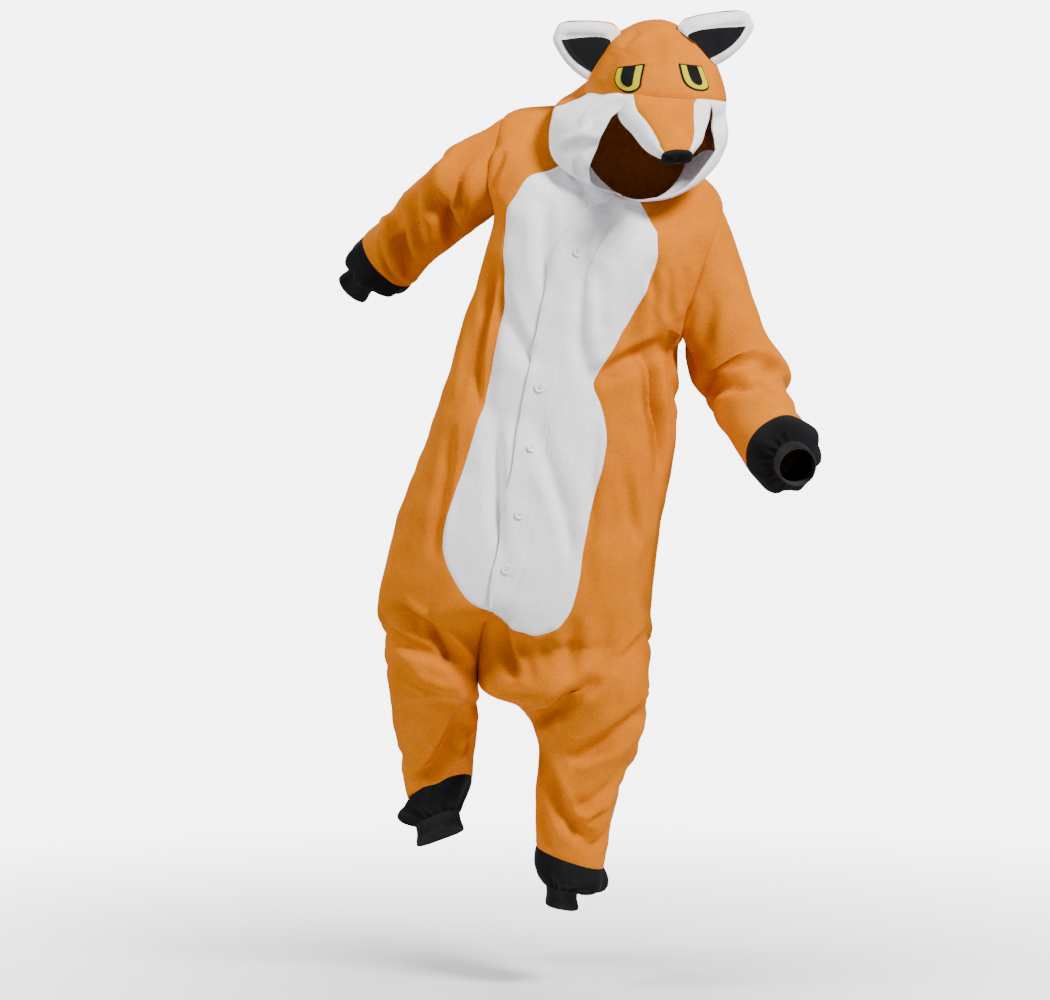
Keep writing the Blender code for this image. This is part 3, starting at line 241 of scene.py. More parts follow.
# Heights on an ear are shares of the way from its foot (0) to its tip (1).
EAR_SPLIT = 0.68  # height where the black tip of its back begins
EAR_SPLIT_GAP = 0.003  # between the back and its black tip
EAR_FOOT = 0.014  # half the turn that the ear's foot takes up on the hood
EAR_BOW = 0.009  # how far the side edge bows out
EAR_RISE = 0.014  # how far the top edge bows up
EAR_ROUND = 0.3  # how much of its half width the ear loses at its rounded tip
EAR_GAP = 0.0009  # clearance between the ear's foot and the hood
EAR_CELLS = 32
EAR_LENGTH = 0.11
EAR_ROLL = 0.0100  # radius of the stuffed roll round the front
EAR_SUNK = 0.0030  # how far the front stands out inside the roll
EAR_LIP = 0.006  # how far the back shows above the front's top edge
EAR_FACES = {"front": 1, "back": -1}  # which way each face of an ear stands out
EAR_ROUNDED_FROM = 0.86  # height from which the ear gets narrower towards its rounded tip
EAR_THIN_FROM = 0.8  # height from which its back gets thinner
EAR_TAPER = 0.45  # how much of its depth the back loses up to the tip
EAR_RIM = 0.05  # share of the back's depth at its edges
EAR_ENDS = 0.9  # how far the foot's ends and the back's tip are rounded off
EAR_NEAR_FOOT = 0.2  # height up to which the foot's shape is felt
# The black inside: its height, and as shares of the foot's half width its own half width, its tip's
# offset, its side's bulge and its tip's half width.
EAR_BLACK_TOP = 0.82
EAR_BLACK_FOOT = 0.60
EAR_BLACK_APEX = 0.14
EAR_BLACK_BULGE = 0.30
EAR_BLACK_TIP = 0.03
# Turns of the hood between which each eye and each ear's foot lie.
EYE_TURNS = {"left": (-0.2, 0.05), "right": (-0.05, 0.2)}
EAR_TURNS = {"left": (-0.35, -0.1), "right": (0.1, 0.35)}

# Eyes: marks in front view (x, z): top left, top right, bottom right, bottom left.
EYES = {
    "left": ((-13, 200), (35, 202), (30, 149), (-16, 149)),
    "right": ((93, 203), (134, 202), (154, 158), (108, 152)),
}

# Edge of the white belly panel in front view, from its foot on the centre front up to the neck:
# the level where the panel's row meets the side, then x and z.
BELLY_EDGE = {
    "left": (
        #  side    x     z
        (4.3, -237, -753),
        (4.8, -268, -738),
        (5.4, -293, -706),
        (6.2, -312, -668),
        (7.1, -318, -634),
        (7.7, -311, -593),
        (8.6, -287, -519),
        (9.6, -257, -418),
        (10.6, -234, -312),
        (11.5, -222, -232),
        (12.4, -215, -142),
        (13.5, -212, -76),
        (14.2, -192, -22),
        (15.0, -148, 20),
        (15.8, -112, 36),
        (17.0, -55, 60),
    ),
    "right": (
        (4.3, -237, -753),
        (4.75, -190, -788),
        (5.3, -140, -793),
        (6.0, -98, -760),
        (6.8, -79, -697),
        (7.8, -68, -628),
        (8.6, -53, -558),
        (9.3, -37, -488),
        (9.8, -32, -445),
        (10.5, -40, -392),
        (11.0, -52, -357),
        (11.5, -38, -325),
        (12.2, -6, -272),
        (13.0, 33, -206),
        (14.0, 58, -144),
        (14.7, 59, -100),
        (15.6, 47, -60),
        (17.0, 28, -22),
    ),
}
# How far the right front hangs below the crotch seam that holds up the centre front, by level.
SAG = {5: 28, 6: 40, 7: 22, 8: 8}
FRONT_BEND = 1.9  # how much sooner the fronts' rows reach the side's height than a straight row
SIDE_CROWDING = 1.3  # how much the side's rows crowd above the belly panel's foot
ARMHOLE_REACH = 0.24  # how far the armhole comes round from the side, of a quarter turn

# Large creases, by the way they face: depth, width, and their line in front view (x, z).
CREASES = {
    "front": (
        (12, 20, ((-40, -340), (-9, -319), (26, -302), (68, -288))),
        (13, 20, ((-229, -157), (-232, -244), (-241, -314), (-251, -384))),
        (12, 18, ((43, -312), (47, -384), (61, -436), (68, -523))),
        (9, 18, ((-392, -750), (-340, -794), (-305, -828), (-276, -860))),
        (8, 16, ((-223, -776), (-213, -811), (-197, -851))),
        (4, 20, ((-96, -785), (-96, -907))),
        (9, 18, ((-61, -881), (-96, -902), (-117, -928), (-148, -945))),
        (9, 18, ((-284, -945), (-310, -1000), (-341, -1048))),
        (9, 18, ((38, -933), (-26, -977), (-87, -1012))),
        (8, 18, ((-148, -1003), (-134, -1047), (-110, -1099), (-61, -1168))),
        (10, 16, ((265, -326), (228, -333), (184, -357), (139, -366))),
        (9, 18, ((-236, 80), (-282, 18), (-305, -43), (-302, -84))),
        (8, 16, ((-393, -50), (-391, -103), (-374, -170))),
        (7, 18, ((-61, -105), (-74, -175), (-79, -279), (-53, -384))),
        (6, 16, ((-140, -35), (-140, -192))),
        (7, 16, ((-218, -209), (-183, -288), (-157, -314))),
        (7, 18, ((-161, -418), (-131, -506), (-87, -663))),
        (6, 16, ((-227, -418), (-218, -663))),
        (7, 16, ((52, -148), (0, -262))),
    ),
    "back": (
        (14, 22, ((98, -280), (40, -318), (-20, -330), (-70, -322))),
        (9, 20, ((-196, -60), (-190, -180), (-214, -300), (-230, -380))),
        (8, 20, ((-10, -20), (0, -120), (18, -210))),
        (8, 20, ((-110, -420), (-120, -540), (-104, -640))),
        (9, 20, ((-20, -470), (-8, -580), (-24, -690))),
        (10, 20, ((-380, -700), (-320, -752), (-260, -800))),
        (9, 18, ((30, -730), (-40, -790), (-110, -812))),
        (9, 18, ((-390, -900), (-330, -940), (-290, -950))),
        (9, 18, ((20, -930), (-40, -985), (-110, -1010))),
        (8, 18, ((-130, -1050), (-90, -1100), (-40, -1120))),
        (9, 18, ((-250, 60), (-300, 0), (-330, -60))),
        (9, 18, ((130, -300), (190, -330), (250, -330))),
    ),
}

# Smaller folds, by the way they face: depth, width, which side's ridge is higher, and their line:
# (x, z), or (y, z) where they face left or right.
FOLDS = {
    "front": (
        (3, 14, 0.3, ((-61, -97), (-73, -173), (-78, -278), (-52, -383))),
        (3, 12, -0.3, ((-47, -142), (-42, -208), (-44, -270))),
        (2, 15, 0.4, ((53, -141), (27, -199), (1, -264))),
        (3, 14, 0, ((-139, -31), (-143, -110), (-139, -189))),
        (2, 16, 0.3, ((-218, -210), (-201, -254), (-183, -288), (-154, -318))),
        (4, 15, -0.4, ((-161, -419), (-131, -506), (-100, -593), (-84, -671))),
        (4, 12, 0.3, ((-227, -419), (-223, -541), (-215, -662))),
        (4, 12, 0.2, ((-44, -419), (-55, -506), (-58, -610), (-70, -715))),
        (2, 12, 0, ((-125, -782), (-138, -806), (-152, -846))),
        (5, 13, 0.4, ((-44, -342), (-9, -321), (26, -303), (62, -290))),
        (2, 12, 0.3, ((106, -252), (116, -232), (132, -202))),
        (4, 9, -0.2, ((51, -152), (55, -208), (48, -265))),
        (3, 10, 0.2, ((83, -150), (77, -195), (78, -240))),
        (3, 10, 0, ((110, -145), (104, -185), (105, -225))),
        (8, 9, 0.5, ((-238, -130), (-248, -227), (-257, -296), (-265, -390))),
        (4, 9, -0.3, ((-271, -209), (-274, -288), (-288, -384))),
        (4, 10, 0.2, ((-302, -418), (-309, -506), (-326, -593), (-333, -663))),
        (12, 8, -0.6, ((50, -300), (52, -386), (64, -435), (74, -505))),
        (4, 8, 0.5, ((84, -294), (89, -364), (98, -435), (105, -505))),
        (4, 10, 0.5, ((53, -625), (40, -680), (35, -715), (44, -765))),
        (3, 10, -0.5, ((45, -790), (22, -815), (-5, -842))),
        (4, 10, 0.2, ((0, -506), (12, -575), (26, -636))),
        (8, 12, 0.5, ((-410, -743), (-365, -774), (-324, -812), (-294, -838), (-262, -870))),
        (6, 11, 0.2, ((-425, -786), (-375, -815), (-330, -833), (-296, -842))),
        (5, 11, -0.4, ((-352, -757), (-329, -797), (-300, -838))),
        (4, 13, 0.2, ((-420, -836), (-366, -889), (-322, -909), (-276, -906))),
        (5, 11, 0.4, ((-221, -776), (-211, -815), (-190, -873))),
        (3, 10, -0.3, ((-186, -790), (-174, -826), (-162, -884))),
        (3, 14, 0.2, ((-84, -760), (-96, -820), (-90, -880))),
        (8, 12, -0.4, ((-46, -862), (-72, -884), (-98, -905), (-125, -933), (-158, -946), (-190, -960))),
        (2, 14, 0.3, ((-30, -760), (-37, -850), (-58, -909))),
        (9, 12, 0.4, ((-277, -925), (-289, -962), (-310, -1003), (-335, -1040), (-374, -1086))),
        (4, 10, 0, ((-277, -867), (-270, -915), (-274, -980), (-270, -1040))),
        (3, 11, 0.3, ((-389, -964), (-364, -1002), (-345, -1019))),
        (4, 8, -0.3, ((-404, -1038), (-379, -1059), (-347, -1068))),
        (8, 12, 0.4, ((60, -924), (16, -958), (-31, -989), (-96, -1018))),
        (4, 10, -0.2, ((42, -965), (-43, -1007), (-75, -1030))),
        (7, 12, 0.3, ((-160, -990), (-134, -1055), (-104, -1120), (-57, -1166))),
        (4, 8, -0.3, ((-153, -1092), (-139, -1137), (-127, -1179))),
        (4, 7, 0.2, ((-37, -1110), (-53, -1126), (-67, -1137))),
        (5, 11, 0.4, ((14, -1023), (-21, -1068), (-60, -1097), (-100, -1104))),
        (4, 8, 0, ((-14, -1133), (-32, -1161), (-60, -1179))),
        (7, 15, 0.3, ((-252, 84), (-285, 36), (-303, -23), (-303, -69), (-276, -95))),
        (11, 12, 0.5, ((-342, 54), (-343, 12), (-333, -30), (-319, -57), (-292, -84))),
        (11, 12, -0.4, ((-420, 8), (-413, -55), (-402, -98), (-384, -150))),
        (4, 7, 0, ((-416, -28), (-423, -50), (-423, -86))),
        (5, 10, 0.4, ((-322, -14), (-312, -58), (-290, -90))),
        (6, 11, 0.2, ((-368, 22), (-372, -52), (-361, -110))),
        (4, 7, -0.2, ((-210, 64), (-230, 19), (-244, -34))),
        (4, 13, 0.4, ((290, -322), (240, -337), (210, -343), (184, -355), (155, -362), (122, -356))),
        (3, 11, -0.3, ((282, -354), (257, -357), (228, -354))),
        (3, 13, -0.2, ((160, -196), (150, -240), (140, -286))),
        (4, 8, 0.4, ((-70, 89), (-54, 110), (-26, 127), (0, 136))),
        (3, 11, 0.6, ((-118, 50), (-80, 62), (-56, 57), (-34, 60))),
        (4, 8, 0.3, ((171, 125), (160, 87), (160, 55))),
        (2, 12, 0.3, ((-44, 150), (-31, 195), (-16, 230))),
        (2, 9, 0, ((27, 276), (13, 261), (-8, 244))),
        (2, 9, 0, ((99, 270), (111, 259), (125, 246))),
        (1, 12, 0.2, ((55, 271), (58, 227), (55, 183))),
        (3, 9, 0.2, ((-92, 36), (-80, 14), (-60, -2))),
    ),
    "back": (
        (5, 10, 0.3, ((60, -40), (52, -120), (60, -200))),
        (4, 9, -0.2, ((-150, -30), (-142, -110), (-150, -190))),
        (5, 11, 0.2, ((-60, -60), (-66, -160), (-80, -250))),
        (5, 9, 0.4, ((110, -250), (60, -292), (0, -306), (-60, -300))),
        (4, 8, -0.3, ((90, -330), (40, -352), (-20, -356))),
        (4, 9, 0.2, ((-220, -330), (-170, -352), (-110, -350))),
        (5, 11, -0.2, ((-160, -400), (-170, -500), (-190, -600))),
        (4, 10, 0.3, ((-60, -420), (-70, -520), (-60, -610))),
        (5, 11, 0.2, ((50, -400), (56, -500), (48, -600))),
        (4, 9, 0, ((0, -560), (-10, -640), (-30, -700))),
        (5, 9, 0.5, ((-400, -770), (-350, -800), (-300, -836))),
        (5, 8, 0.3, ((-390, -830), (-340, -862), (-290, -880))),
        (5, 10, 0.3, ((-200, -760), (-215, -810), (-240, -850))),
        (6, 9, 0.4, ((-150, -800), (-110, -850), (-90, -900))),
        (5, 9, -0.3, ((20, -800), (-20, -850), (-60, -880))),
        (6, 9, 0.4, ((40, -960), (-20, -1000), (-90, -1020))),
        (5, 8, -0.2, ((30, -1010), (-30, -1044), (-80, -1056))),
        (5, 8, 0.3, ((-150, -1080), (-110, -1120), (-60, -1150))),
        (4, 8, 0.2, ((0, -1090), (-20, -1130), (-50, -1160))),
        (5, 9, 0.2, ((-400, -960), (-370, -1000), (-330, -1020))),
        (5, 8, 0.3, ((-280, -900), (-300, -960), (-330, -1000))),
        (4, 8, 0, ((-380, -1030), (-350, -1060), (-320, -1070))),
        (5, 8, 0.3, ((-260, 30), (-300, -10), (-320, -60))),
        (5, 8, -0.2, ((-330, 20), (-350, -30), (-350, -80))),
        (5, 8, 0.3, ((-390, -20), (-400, -70), (-390, -120))),
        (4, 7, 0.2, ((-430, -60), (-430, -100), (-420, -140))),
        (5, 8, 0.3, ((140, -230), (190, -260), (240, -260))),
        (5, 8, -0.2, ((150, -300), (200, -330), (260, -330))),
        (5, 8, 0.3, ((170, -380), (220, -400), (280, -400))),
        (4, 9, 0.2, ((20, 160), (50, 175), (90, 160))),
        (4, 8, -0.2, ((0, 220), (40, 226), (90, 214))),
        (4, 9, 0.3, ((-40, 180), (-20, 140), (0, 130))),
    ),
    "left": (
        (3, 13, 0.3, ((-20, -180), (10, -260), (0, -350))),
        (2, 12, -0.2, ((40, -240), (50, -330), (30, -420))),
        (3, 14, 0.2, ((-10, -440), (-20, -540), (10, -640))),
        (2, 12, 0.2, ((50, -500), (60, -600), (40, -680))),
        (3, 12, 0.4, ((-60, -760), (0, -800), (60, -820))),
        (2, 11, 0.2, ((-30, -840), (20, -870), (80, -880))),
        (2, 11, -0.2, ((10, -920), (60, -950), (110, -960))),
        (2, 11, 0.3, ((60, -1000), (110, -1030), (150, -1030))),
        (2, 11, 0.2, ((-40, 40), (0, 60), (30, 100))),
    ),
    "right": (
        (3, 13, 0.3, ((-30, -340), (10, -372), (60, -380))),
        (3, 13, 0.3, ((40, -420), (30, -500), (50, -590))),
        (2, 12, -0.2, ((-40, -560), (-30, -640), (-50, -720))),
        (3, 12, 0.3, ((-60, -780), (0, -820), (60, -830))),
        (3, 12, 0.2, ((-40, -900), (10, -930), (60, -930))),
        (3, 11, -0.3, ((-30, -980), (20, -1010), (60, -1000))),
        (2, 11, 0.3, ((-20, -1060), (20, -1090), (50, -1080))),
    ),
}


# ---- surfaces ----
def marks(table):
    """A table's marks, given in millimetres, as points."""
    return np.array(table, float) * MM


def round_section(turn, section, centre, squareness=1.0):
    """Points round one section: its four marks lie at turn 0, 0.25, 0.5 and 0.75."""
    angle = 2 * math.pi * np.asarray(turn, float)
    along, across = np.cos(angle), np.sin(angle)
    weights = (along.clip(0), across.clip(0), (-along).clip(0), (-across).clip(0))
    point = centre
    for weight, mark in zip(weights, section):
        point = point + (np.maximum(weight, 1e-9)**squareness)[..., None] * (mark - centre)
    return point


def loft(rows, level, rounded_end=False):
    """A smooth curve through rows of points, read at level; rows[i] is met at level i."""
    rows = np.asarray(rows)
    first = 2 * rows[0] - rows[1]
    last = 2 * rows[-1] - rows[-2]
    if rounded_end:
        last[..., 2] = rows[-2][..., 2]
    padded = np.concatenate([first[None], rows, last[None]])
    level = np.asarray(level, float)
    padded = np.broadcast_to(padded, (len(padded), *level.shape, 3))
    index = np.clip(np.floor(level).astype(int), 0, len(rows) - 2)
    t = (level - index)[..., None]
    picked = [
        np.take_along_axis(padded, (index + k)[None, ..., None], 0)[0] for k in range(4)
    ]
    a, b, c, d = picked
    return 0.5 * (
        2 * b + (c - a) * t + (2 * a - 5 * b + 4 * c - d) * t**2 + (3 * b - a - 3 * c + d) * t**3
    )


def side_centre(left, right, front, back):
    """The point of the line between the sides that lies nearest the middle of the depth."""
    span = right - left
    if not span.any():
        return left
    share = np.dot((front + back) / 2 - left, span) / np.dot(span, span)
    return left + share * span


def limb_section(turn, section):
    """Points round one section of a leg or ankle."""
    centre = (section[0] + section[2]) / 2
    centre[1] = (section[1][1] + section[3][1]) / 2
    return round_section(turn, section, centre, LIMB_SQUARENESS)


def body_rows(side, turn):
    """Every level's points on one half of the body, round from the centre front or inseam."""
    rows = [limb_section(turn, section) for section in marks(LEG_SECTIONS[side])]
    for (left, right, front, back), squareness in zip(marks(TORSO), SQUARENESS):
        outer = left if side == "left" else right
        centre = side_centre(left, right, front, back)
        rows.append(round_section(turn / 2, (front, outer, back, outer), centre, squareness))
    if side == "right":
        for number, drop in SAG.items():
            shape = np.where(turn < 0.25, 1 - (1 - 4 * turn) ** 4, np.sin(2 * math.pi * turn).clip(0))
            rows[number][..., 2] -= drop * MM * shape
    # Just above the crotch the half torso is still drawn in towards the leg.
    drawn_in = rows[CROTCH].copy()
    drawn_in[..., 2] = rows[CROTCH + 1][..., 2]
    rows[CROTCH + 1] = (rows[CROTCH + 1] + drawn_in) / 2
    return rows


def half_body(side, turn, level):
    return loft(body_rows(side, turn), level)


def body(side, turn, level):
    """A point of the body: turn 0 is the centre front (or inseam), 0.5 the side, 1 the centre back."""
    turn, level = np.broadcast_arrays(np.asarray(turn, float), np.asarray(level, float))
    other = "right" if side == "left" else "left"
    point = half_body(side, turn, level)
    low = level[..., None] <= CROTCH
    ends = {edge: half_body(side, np.full_like(turn, edge), level) for edge in (0.0, 1.0)}
    inseam = (ends[0.0] + ends[1.0]) / 2
    for edge, line in ends.items():
        centre = (line + half_body(other, np.full_like(turn, edge), level)) / 2
        reach = np.clip(1 - abs(turn - edge) / CENTRE_REACH, 0, 1)[..., None] ** 2
        point = point + reach * (np.where(low, inseam, centre) - line)
    return point


def hood(turn, level):
    """A point of the hood: turn 0 is the front, positive to the right, 0.5 the back."""
    turn, level = np.broadcast_arrays(np.asarray(turn, float), np.asarray(level, float))
    rows = []
    for number, (left, front, right, back) in enumerate(marks(HOOD_SECTIONS)):
        centre = side_centre(left, right, front, back)
        squareness = HOOD_SQUARENESS if rows else SQUARENESS[-1]
        if number < len(LEFT_SQUARENESS):
            left_front = (turn < 0) & (turn >= -0.25)
            squareness = np.where(left_front, LEFT_SQUARENESS[number], squareness)
        rows.append(round_section(turn, (front, right, back, left), centre, squareness))
    return loft(rows, level, rounded_end=True)


def sleeve_rings(side, turn):
    """Rings of points along a sleeve; turn 0 is the underarm, 0.25 the front."""
    table = SLEEVE_SECTIONS[side]
    lower = np.array([(low[0], y, low[1]) for low, up, y, half in table]) * MM
    upper = np.array([(up[0], y, up[1]) for low, up, y, half in table]) * MM
    half = np.array([row[3] for row in table]) * MM
    middle = (lower + upper) / 2
    along = np.gradient(middle, axis=0)
    rings = []
    for k in range(len(table)):
        toward = np.cross(lower[k] - middle[k], along[k])
        toward = toward / np.linalg.norm(toward) * half[k]
        if toward[1] > 0:
            toward = -toward
        section = (lower[k], middle[k] + toward, upper[k], middle[k] - toward)
        rings.append(round_section(turn, section, middle[k]))
    return rings


def muzzle(sections, turn, level, squareness):
    """A point of the muzzle or nose: turn 0 is the top, 0.25 the right, 0.5 the underside."""
    rings = [marks(section[:4]) for section in sections]
    return loft([round_section(turn, ring, ring.mean(0), squareness) for ring in rings], level)


def outward_normal(surface, turn, level):
    """Unit normal of a surface at turn, level, where turns run from the front to the right."""
    step = 0.004
    around = surface(turn + step, level) - surface(turn - step, level)
    up = surface(turn, level + step) - surface(turn, level - step)
    return unit(np.cross(around, up))


# ---- pieces ----
POINT_SIZE = 1e-6  # a row no longer than this is a single point
FACING_APART = -0.6  # cosine between normals that aren't averaged
PINNED_APART = 0.1  # cosine between normals at a seam that folds don't pull open
PIN_REACH = 0.018
SEAM_CELLS = 5000  # to the metre: points in the same cell meet at a seam


class Piece:
    """A grid of points on the outside of a piece, and what it is made of."""

    def __init__(
        self, name, grid, material, thickness, closed=False, normal=None, rise=0.0, dip=1.0
    ):
        self.name = name
        self.known_normal = normal
        self.grid = np.array(grid)
        self.material = material
        self.thickness = thickness
        self.closed = closed
        self.rise = rise
        self.dip = dip

    def normals(self):
        """Unit normals of the grid's points, pointing out of the garment."""
        grid = self.grid
        if self.closed:
            down_columns = np.roll(grid, -1, 1) - np.roll(grid, 1, 1)
        else:
            down_columns = np.gradient(grid, axis=1)
        normal = unit(np.cross(down_columns, np.gradient(grid, axis=0)))
        for row, beside in ((0, 1), (-1, -2)):
            if np.ptp(grid[row], axis=0).max() < POINT_SIZE:
                normal[row] = unit(normal[beside].sum(0))
        if self.known_normal is not None:
            normal[:len(self.known_normal)] = self.known_normal
        return normal

    def border(self):
        """Indices of the points on the piece's edges."""
        rows, columns = self.grid.shape[:2]
        index = np.arange(rows * columns).reshape(rows, columns)
        edges = [index[0], index[-1]]
        if not self.closed:
            edges += [index[:, 0], index[:, -1]]
        return np.unique(np.concatenate(edges))

    def reach(self):
        """Each point's distance to the nearest edge of the piece."""
        down = np.linalg.norm(np.diff(self.grid, axis=0), axis=2)
        down = np.concatenate([np.zeros((1, down.shape[1])), down.cumsum(0)])
        nearest = np.minimum(down, down[-1] - down)
        if not self.closed:
            aside = np.linalg.norm(np.diff(self.grid, axis=1), axis=2)
            aside = np.concatenate([np.zeros((aside.shape[0], 1)), aside.cumsum(1)], 1)
            nearest = np.minimum(nearest, np.minimum(aside, aside[:, -1:] - aside))
        return nearest


def unit(vectors):
    return vectors / np.maximum(np.linalg.norm(vectors, axis=-1, keepdims=True), 1e-12)


def seam_key(point):
    return tuple(np.round(point * SEAM_CELLS).astype(int))


def shared_normals(pieces):
    """Each piece's normals, averaged with its neighbours' at seam points unless they face apart.

    Each piece keeps as pinned its seam points whose neighbours face apart."""
    meeting = {}
    own = [piece.normals().reshape(-1, 3) for piece in pieces]
    for piece, normal in zip(pieces, own):
        flat = piece.grid.reshape(-1, 3)
        for k in piece.border():
            meeting.setdefault(seam_key(flat[k]), []).append(normal[k])
    result = []
    for piece, normal in zip(pieces, own):
        flat = piece.grid.reshape(-1, 3)
        mixed = normal.copy()
        apart = []
        for k in piece.border():
            near = meeting[seam_key(flat[k])]
            mixed[k] = sum(other for other in near if other @ normal[k] > FACING_APART)
            if any(other @ normal[k] < PINNED_APART for other in near):
                apart.append(flat[k])
        piece.pinned = np.array(apart)
        result.append(unit(mixed).reshape(piece.grid.shape))
    return result


FOLD_GAIN = 1.9  # how much deeper the smaller folds are than their table's depths
FOLD_REACH = 5  # how far a fold is felt, in its widths
FOLD_LEAN = 0.4  # how much steeper the side of its higher ridge is
# The ridge beside a fold: its height, its distance and its width, as shares of the fold's.
RIDGE = (0.45, 1.8, 0.9)
SLEEVE_RIDGE = (0.5, 1.7, 0.8)
FACING_FULLY = 0.6  # cosine from which a surface counts as facing a side
# The axes across, up and out of the picture, as seen from each side, and the outward sign.
SEEN = {"front": (0, 2, 1, -1), "back": (0, 2, 1, 1), "left": (1, 2, 0, -1), "right": (1, 2, 0, 1)}
# Waves of the cloth: how many, how long, how high.
WAVES = ((10, 0.13, 0.0016), (16, 0.055, 0.0007))


def nearest_on(line, points):
    """The place on a line of points nearest to each point, its distance, its side, and how far along."""
    lengths = np.linalg.norm(np.diff(line, axis=0), axis=1)
    begun = np.concatenate([[0], lengths.cumsum()]) / lengths.sum()
    place = np.array(points)
    distance = np.full(points.shape[:-1], np.inf)
    side, along = np.zeros_like(distance), np.zeros_like(distance)
    for number, (start, end) in enumerate(zip(line[:-1], line[1:])):
        way = end - start
        share = ((points - start) @ way / (way @ way)).clip(0, 1)
        spot = start + share[..., None] * way
        off = points - spot
        miss = np.linalg.norm(off, axis=-1)
        better = miss < distance
        place[better] = spot[better]
        distance[better] = miss[better]
        side[better] = np.sign(way[0] * off[..., 1] - way[1] * off[..., 0])[better]
        along[better] = (begun[number] + share * (begun[number + 1] - begun[number]))[better]
    return place, distance, side, along


def seen_from(facing, point, normal):
    """Points as seen from one side, and how far each of them faces it, up to 1."""
    across_axis, up_axis, out_axis, sign = SEEN[facing]
    toward = (normal[..., out_axis] * sign).clip(0, FACING_FULLY) / FACING_FULLY
    return point[..., (across_axis, up_axis)], toward


def crease_depth(point, normal):
    """How far the large creases press a point of the surface in."""
    depth = np.zeros(point.shape[:-1])
    for facing, creases in CREASES.items():
        seen, toward = seen_from(facing, point, normal)
        for deep, wide, line in creases:
            distance = nearest_on(marks(line), seen)[1]
            depth += toward * deep * MM * np.exp(-((distance / (wide * MM)) ** 2))
    return depth


def fold_profile(off, ridge, lean=0):
    """The height across a fold of depth 1, at a distance counted in its widths."""
    height, place, wide = ridge
    return height * (1 + lean) * np.exp(-(((off - place) / wide) ** 2)) - np.exp(-(off**2))


def fold_rise(point, normal):
    """How far the smaller folds raise or sink a point: a trough between two unequal ridges."""
    rise = np.zeros(point.shape[:-1])
    for facing, folds in FOLDS.items():
        seen, toward = seen_from(facing, point, normal)
        for deep, wide, lean, line in folds:
            ends = marks(line)
            reach = FOLD_REACH * wide * MM
            near = (toward > 0) & ((seen > ends.min(0) - reach) & (seen < ends.max(0) + reach)).all(-1)
            place, distance, side, along = nearest_on(ends, seen[near])
            taper = 1 - (2 * along - 1) ** 4
            off = distance / (wide * MM) * (1 + FOLD_LEAN * lean * side)
            profile = fold_profile(off, RIDGE, lean * side)
            rise[near] += toward[near] * taper * deep * MM * FOLD_GAIN * profile
    return rise


def unevenness(point):
    """A slight waviness of the cloth, the same on both sides of every seam."""
    rng = np.random.default_rng(11)
    rise = np.zeros(point.shape[:-1])
    for count, length, height in WAVES:
        for way, start in zip(unit(rng.normal(size=(count, 3))), rng.uniform(0, 2 * math.pi, count)):
            rise += height / math.sqrt(count) * np.sin(point @ way * 2 * math.pi / length + start)
    return rise


def press(pieces):
    """Presses creases and folds into the pieces, and sinks them at their seams."""
    for piece, normal in zip(pieces, shared_normals(pieces)):
        point = piece.grid
        rise = fold_rise(point, normal) + unevenness(point) - crease_depth(point, normal)
        rise = rise - SEAM_DIP * piece.dip * np.exp(-((piece.reach() / SEAM_WIDTH) ** 2))
        rise = rise + piece.rise
        if len(piece.pinned):
            nearest = np.full(rise.shape, np.inf)
            for pin in piece.pinned:
                nearest = np.minimum(nearest, ((point - pin) ** 2).sum(-1))
            rise = rise * (1 - np.exp(-nearest / PIN_REACH**2))
        piece.grid = point + normal * rise[..., None]


NECK_EASE = 5  # rows over which the foot of the hood is eased onto the neckline


def close_neck(pieces):
    """Sets the foot of the hood on the top edge of the back, which it is sewn to."""
    grids = {piece.name: piece.grid for piece in pieces}
    for side in SIDES:
        crown = grids[f"hood_crown_{side}"]
        shift = nearest_on(grids[f"back_{side}"][-1], crown[0])[0] - crown[0]
        for row in range(NECK_EASE):
            crown[row] += shift * (1 - row / NECK_EASE)


def quads(index, closed=False):
    """The faces of a grid of point numbers, whose last column may meet the first."""
    if closed:
        index = np.concatenate([index, index[:, :1]], 1)
    cells = np.stack([index[:-1, :-1], index[:-1, 1:], index[1:, 1:], index[1:, :-1]], -1)
    return cells.reshape(-1, 4)


def shell(name, outer, inner, closed=False):
    """A thin closed shell between two grids of points of the same shape."""
    rows, columns = outer.shape[:2]
    points = np.concatenate([outer.reshape(-1, 3), inner.reshape(-1, 3)])
    behind = rows * columns
    index = np.arange(behind).reshape(rows, columns)
    outside = quads(index, closed)

    def rim(edge):
        return np.stack([edge[:-1], edge[:-1] + behind, edge[1:] + behind, edge[1:]], -1)

    if closed:
        index = np.concatenate([index, index[:, :1]], 1)
    faces = [outside, outside[:, ::-1] + behind, rim(index[0]), rim(index[-1, ::-1])]
    if not closed:
        faces += [rim(index[::-1, 0]), rim(index[:, -1])]
    mesh = bpy.data.meshes.new(name)
    mesh.from_pydata(points.tolist(), [], np.concatenate(faces).tolist())
    work = bmesh.new()
    work.from_mesh(mesh)
    bmesh.ops.remove_doubles(work, verts=work.verts, dist=POINT_SIZE)
    bmesh.ops.dissolve_degenerate(work, edges=work.edges, dist=POINT_SIZE)
    loose = [edge for edge in work.edges if not edge.link_faces]
    bmesh.ops.delete(work, geom=loose, context="EDGES")
    if work.calc_volume(signed=True) < 0:
        bmesh.ops.reverse_faces(work, faces=work.faces)
    work.to_mesh(mesh)
    work.free()
    mesh.shade_smooth()
    mesh.set_sharp_from_angle(angle=math.radians(60))
    return mesh


def link(name, data, place=(0, 0, 0)):
    """Adds an object to the scene."""
    thing = bpy.data.objects.new(name, data)
    thing.location = place
    bpy.context.collection.objects.link(thing)
    return thing


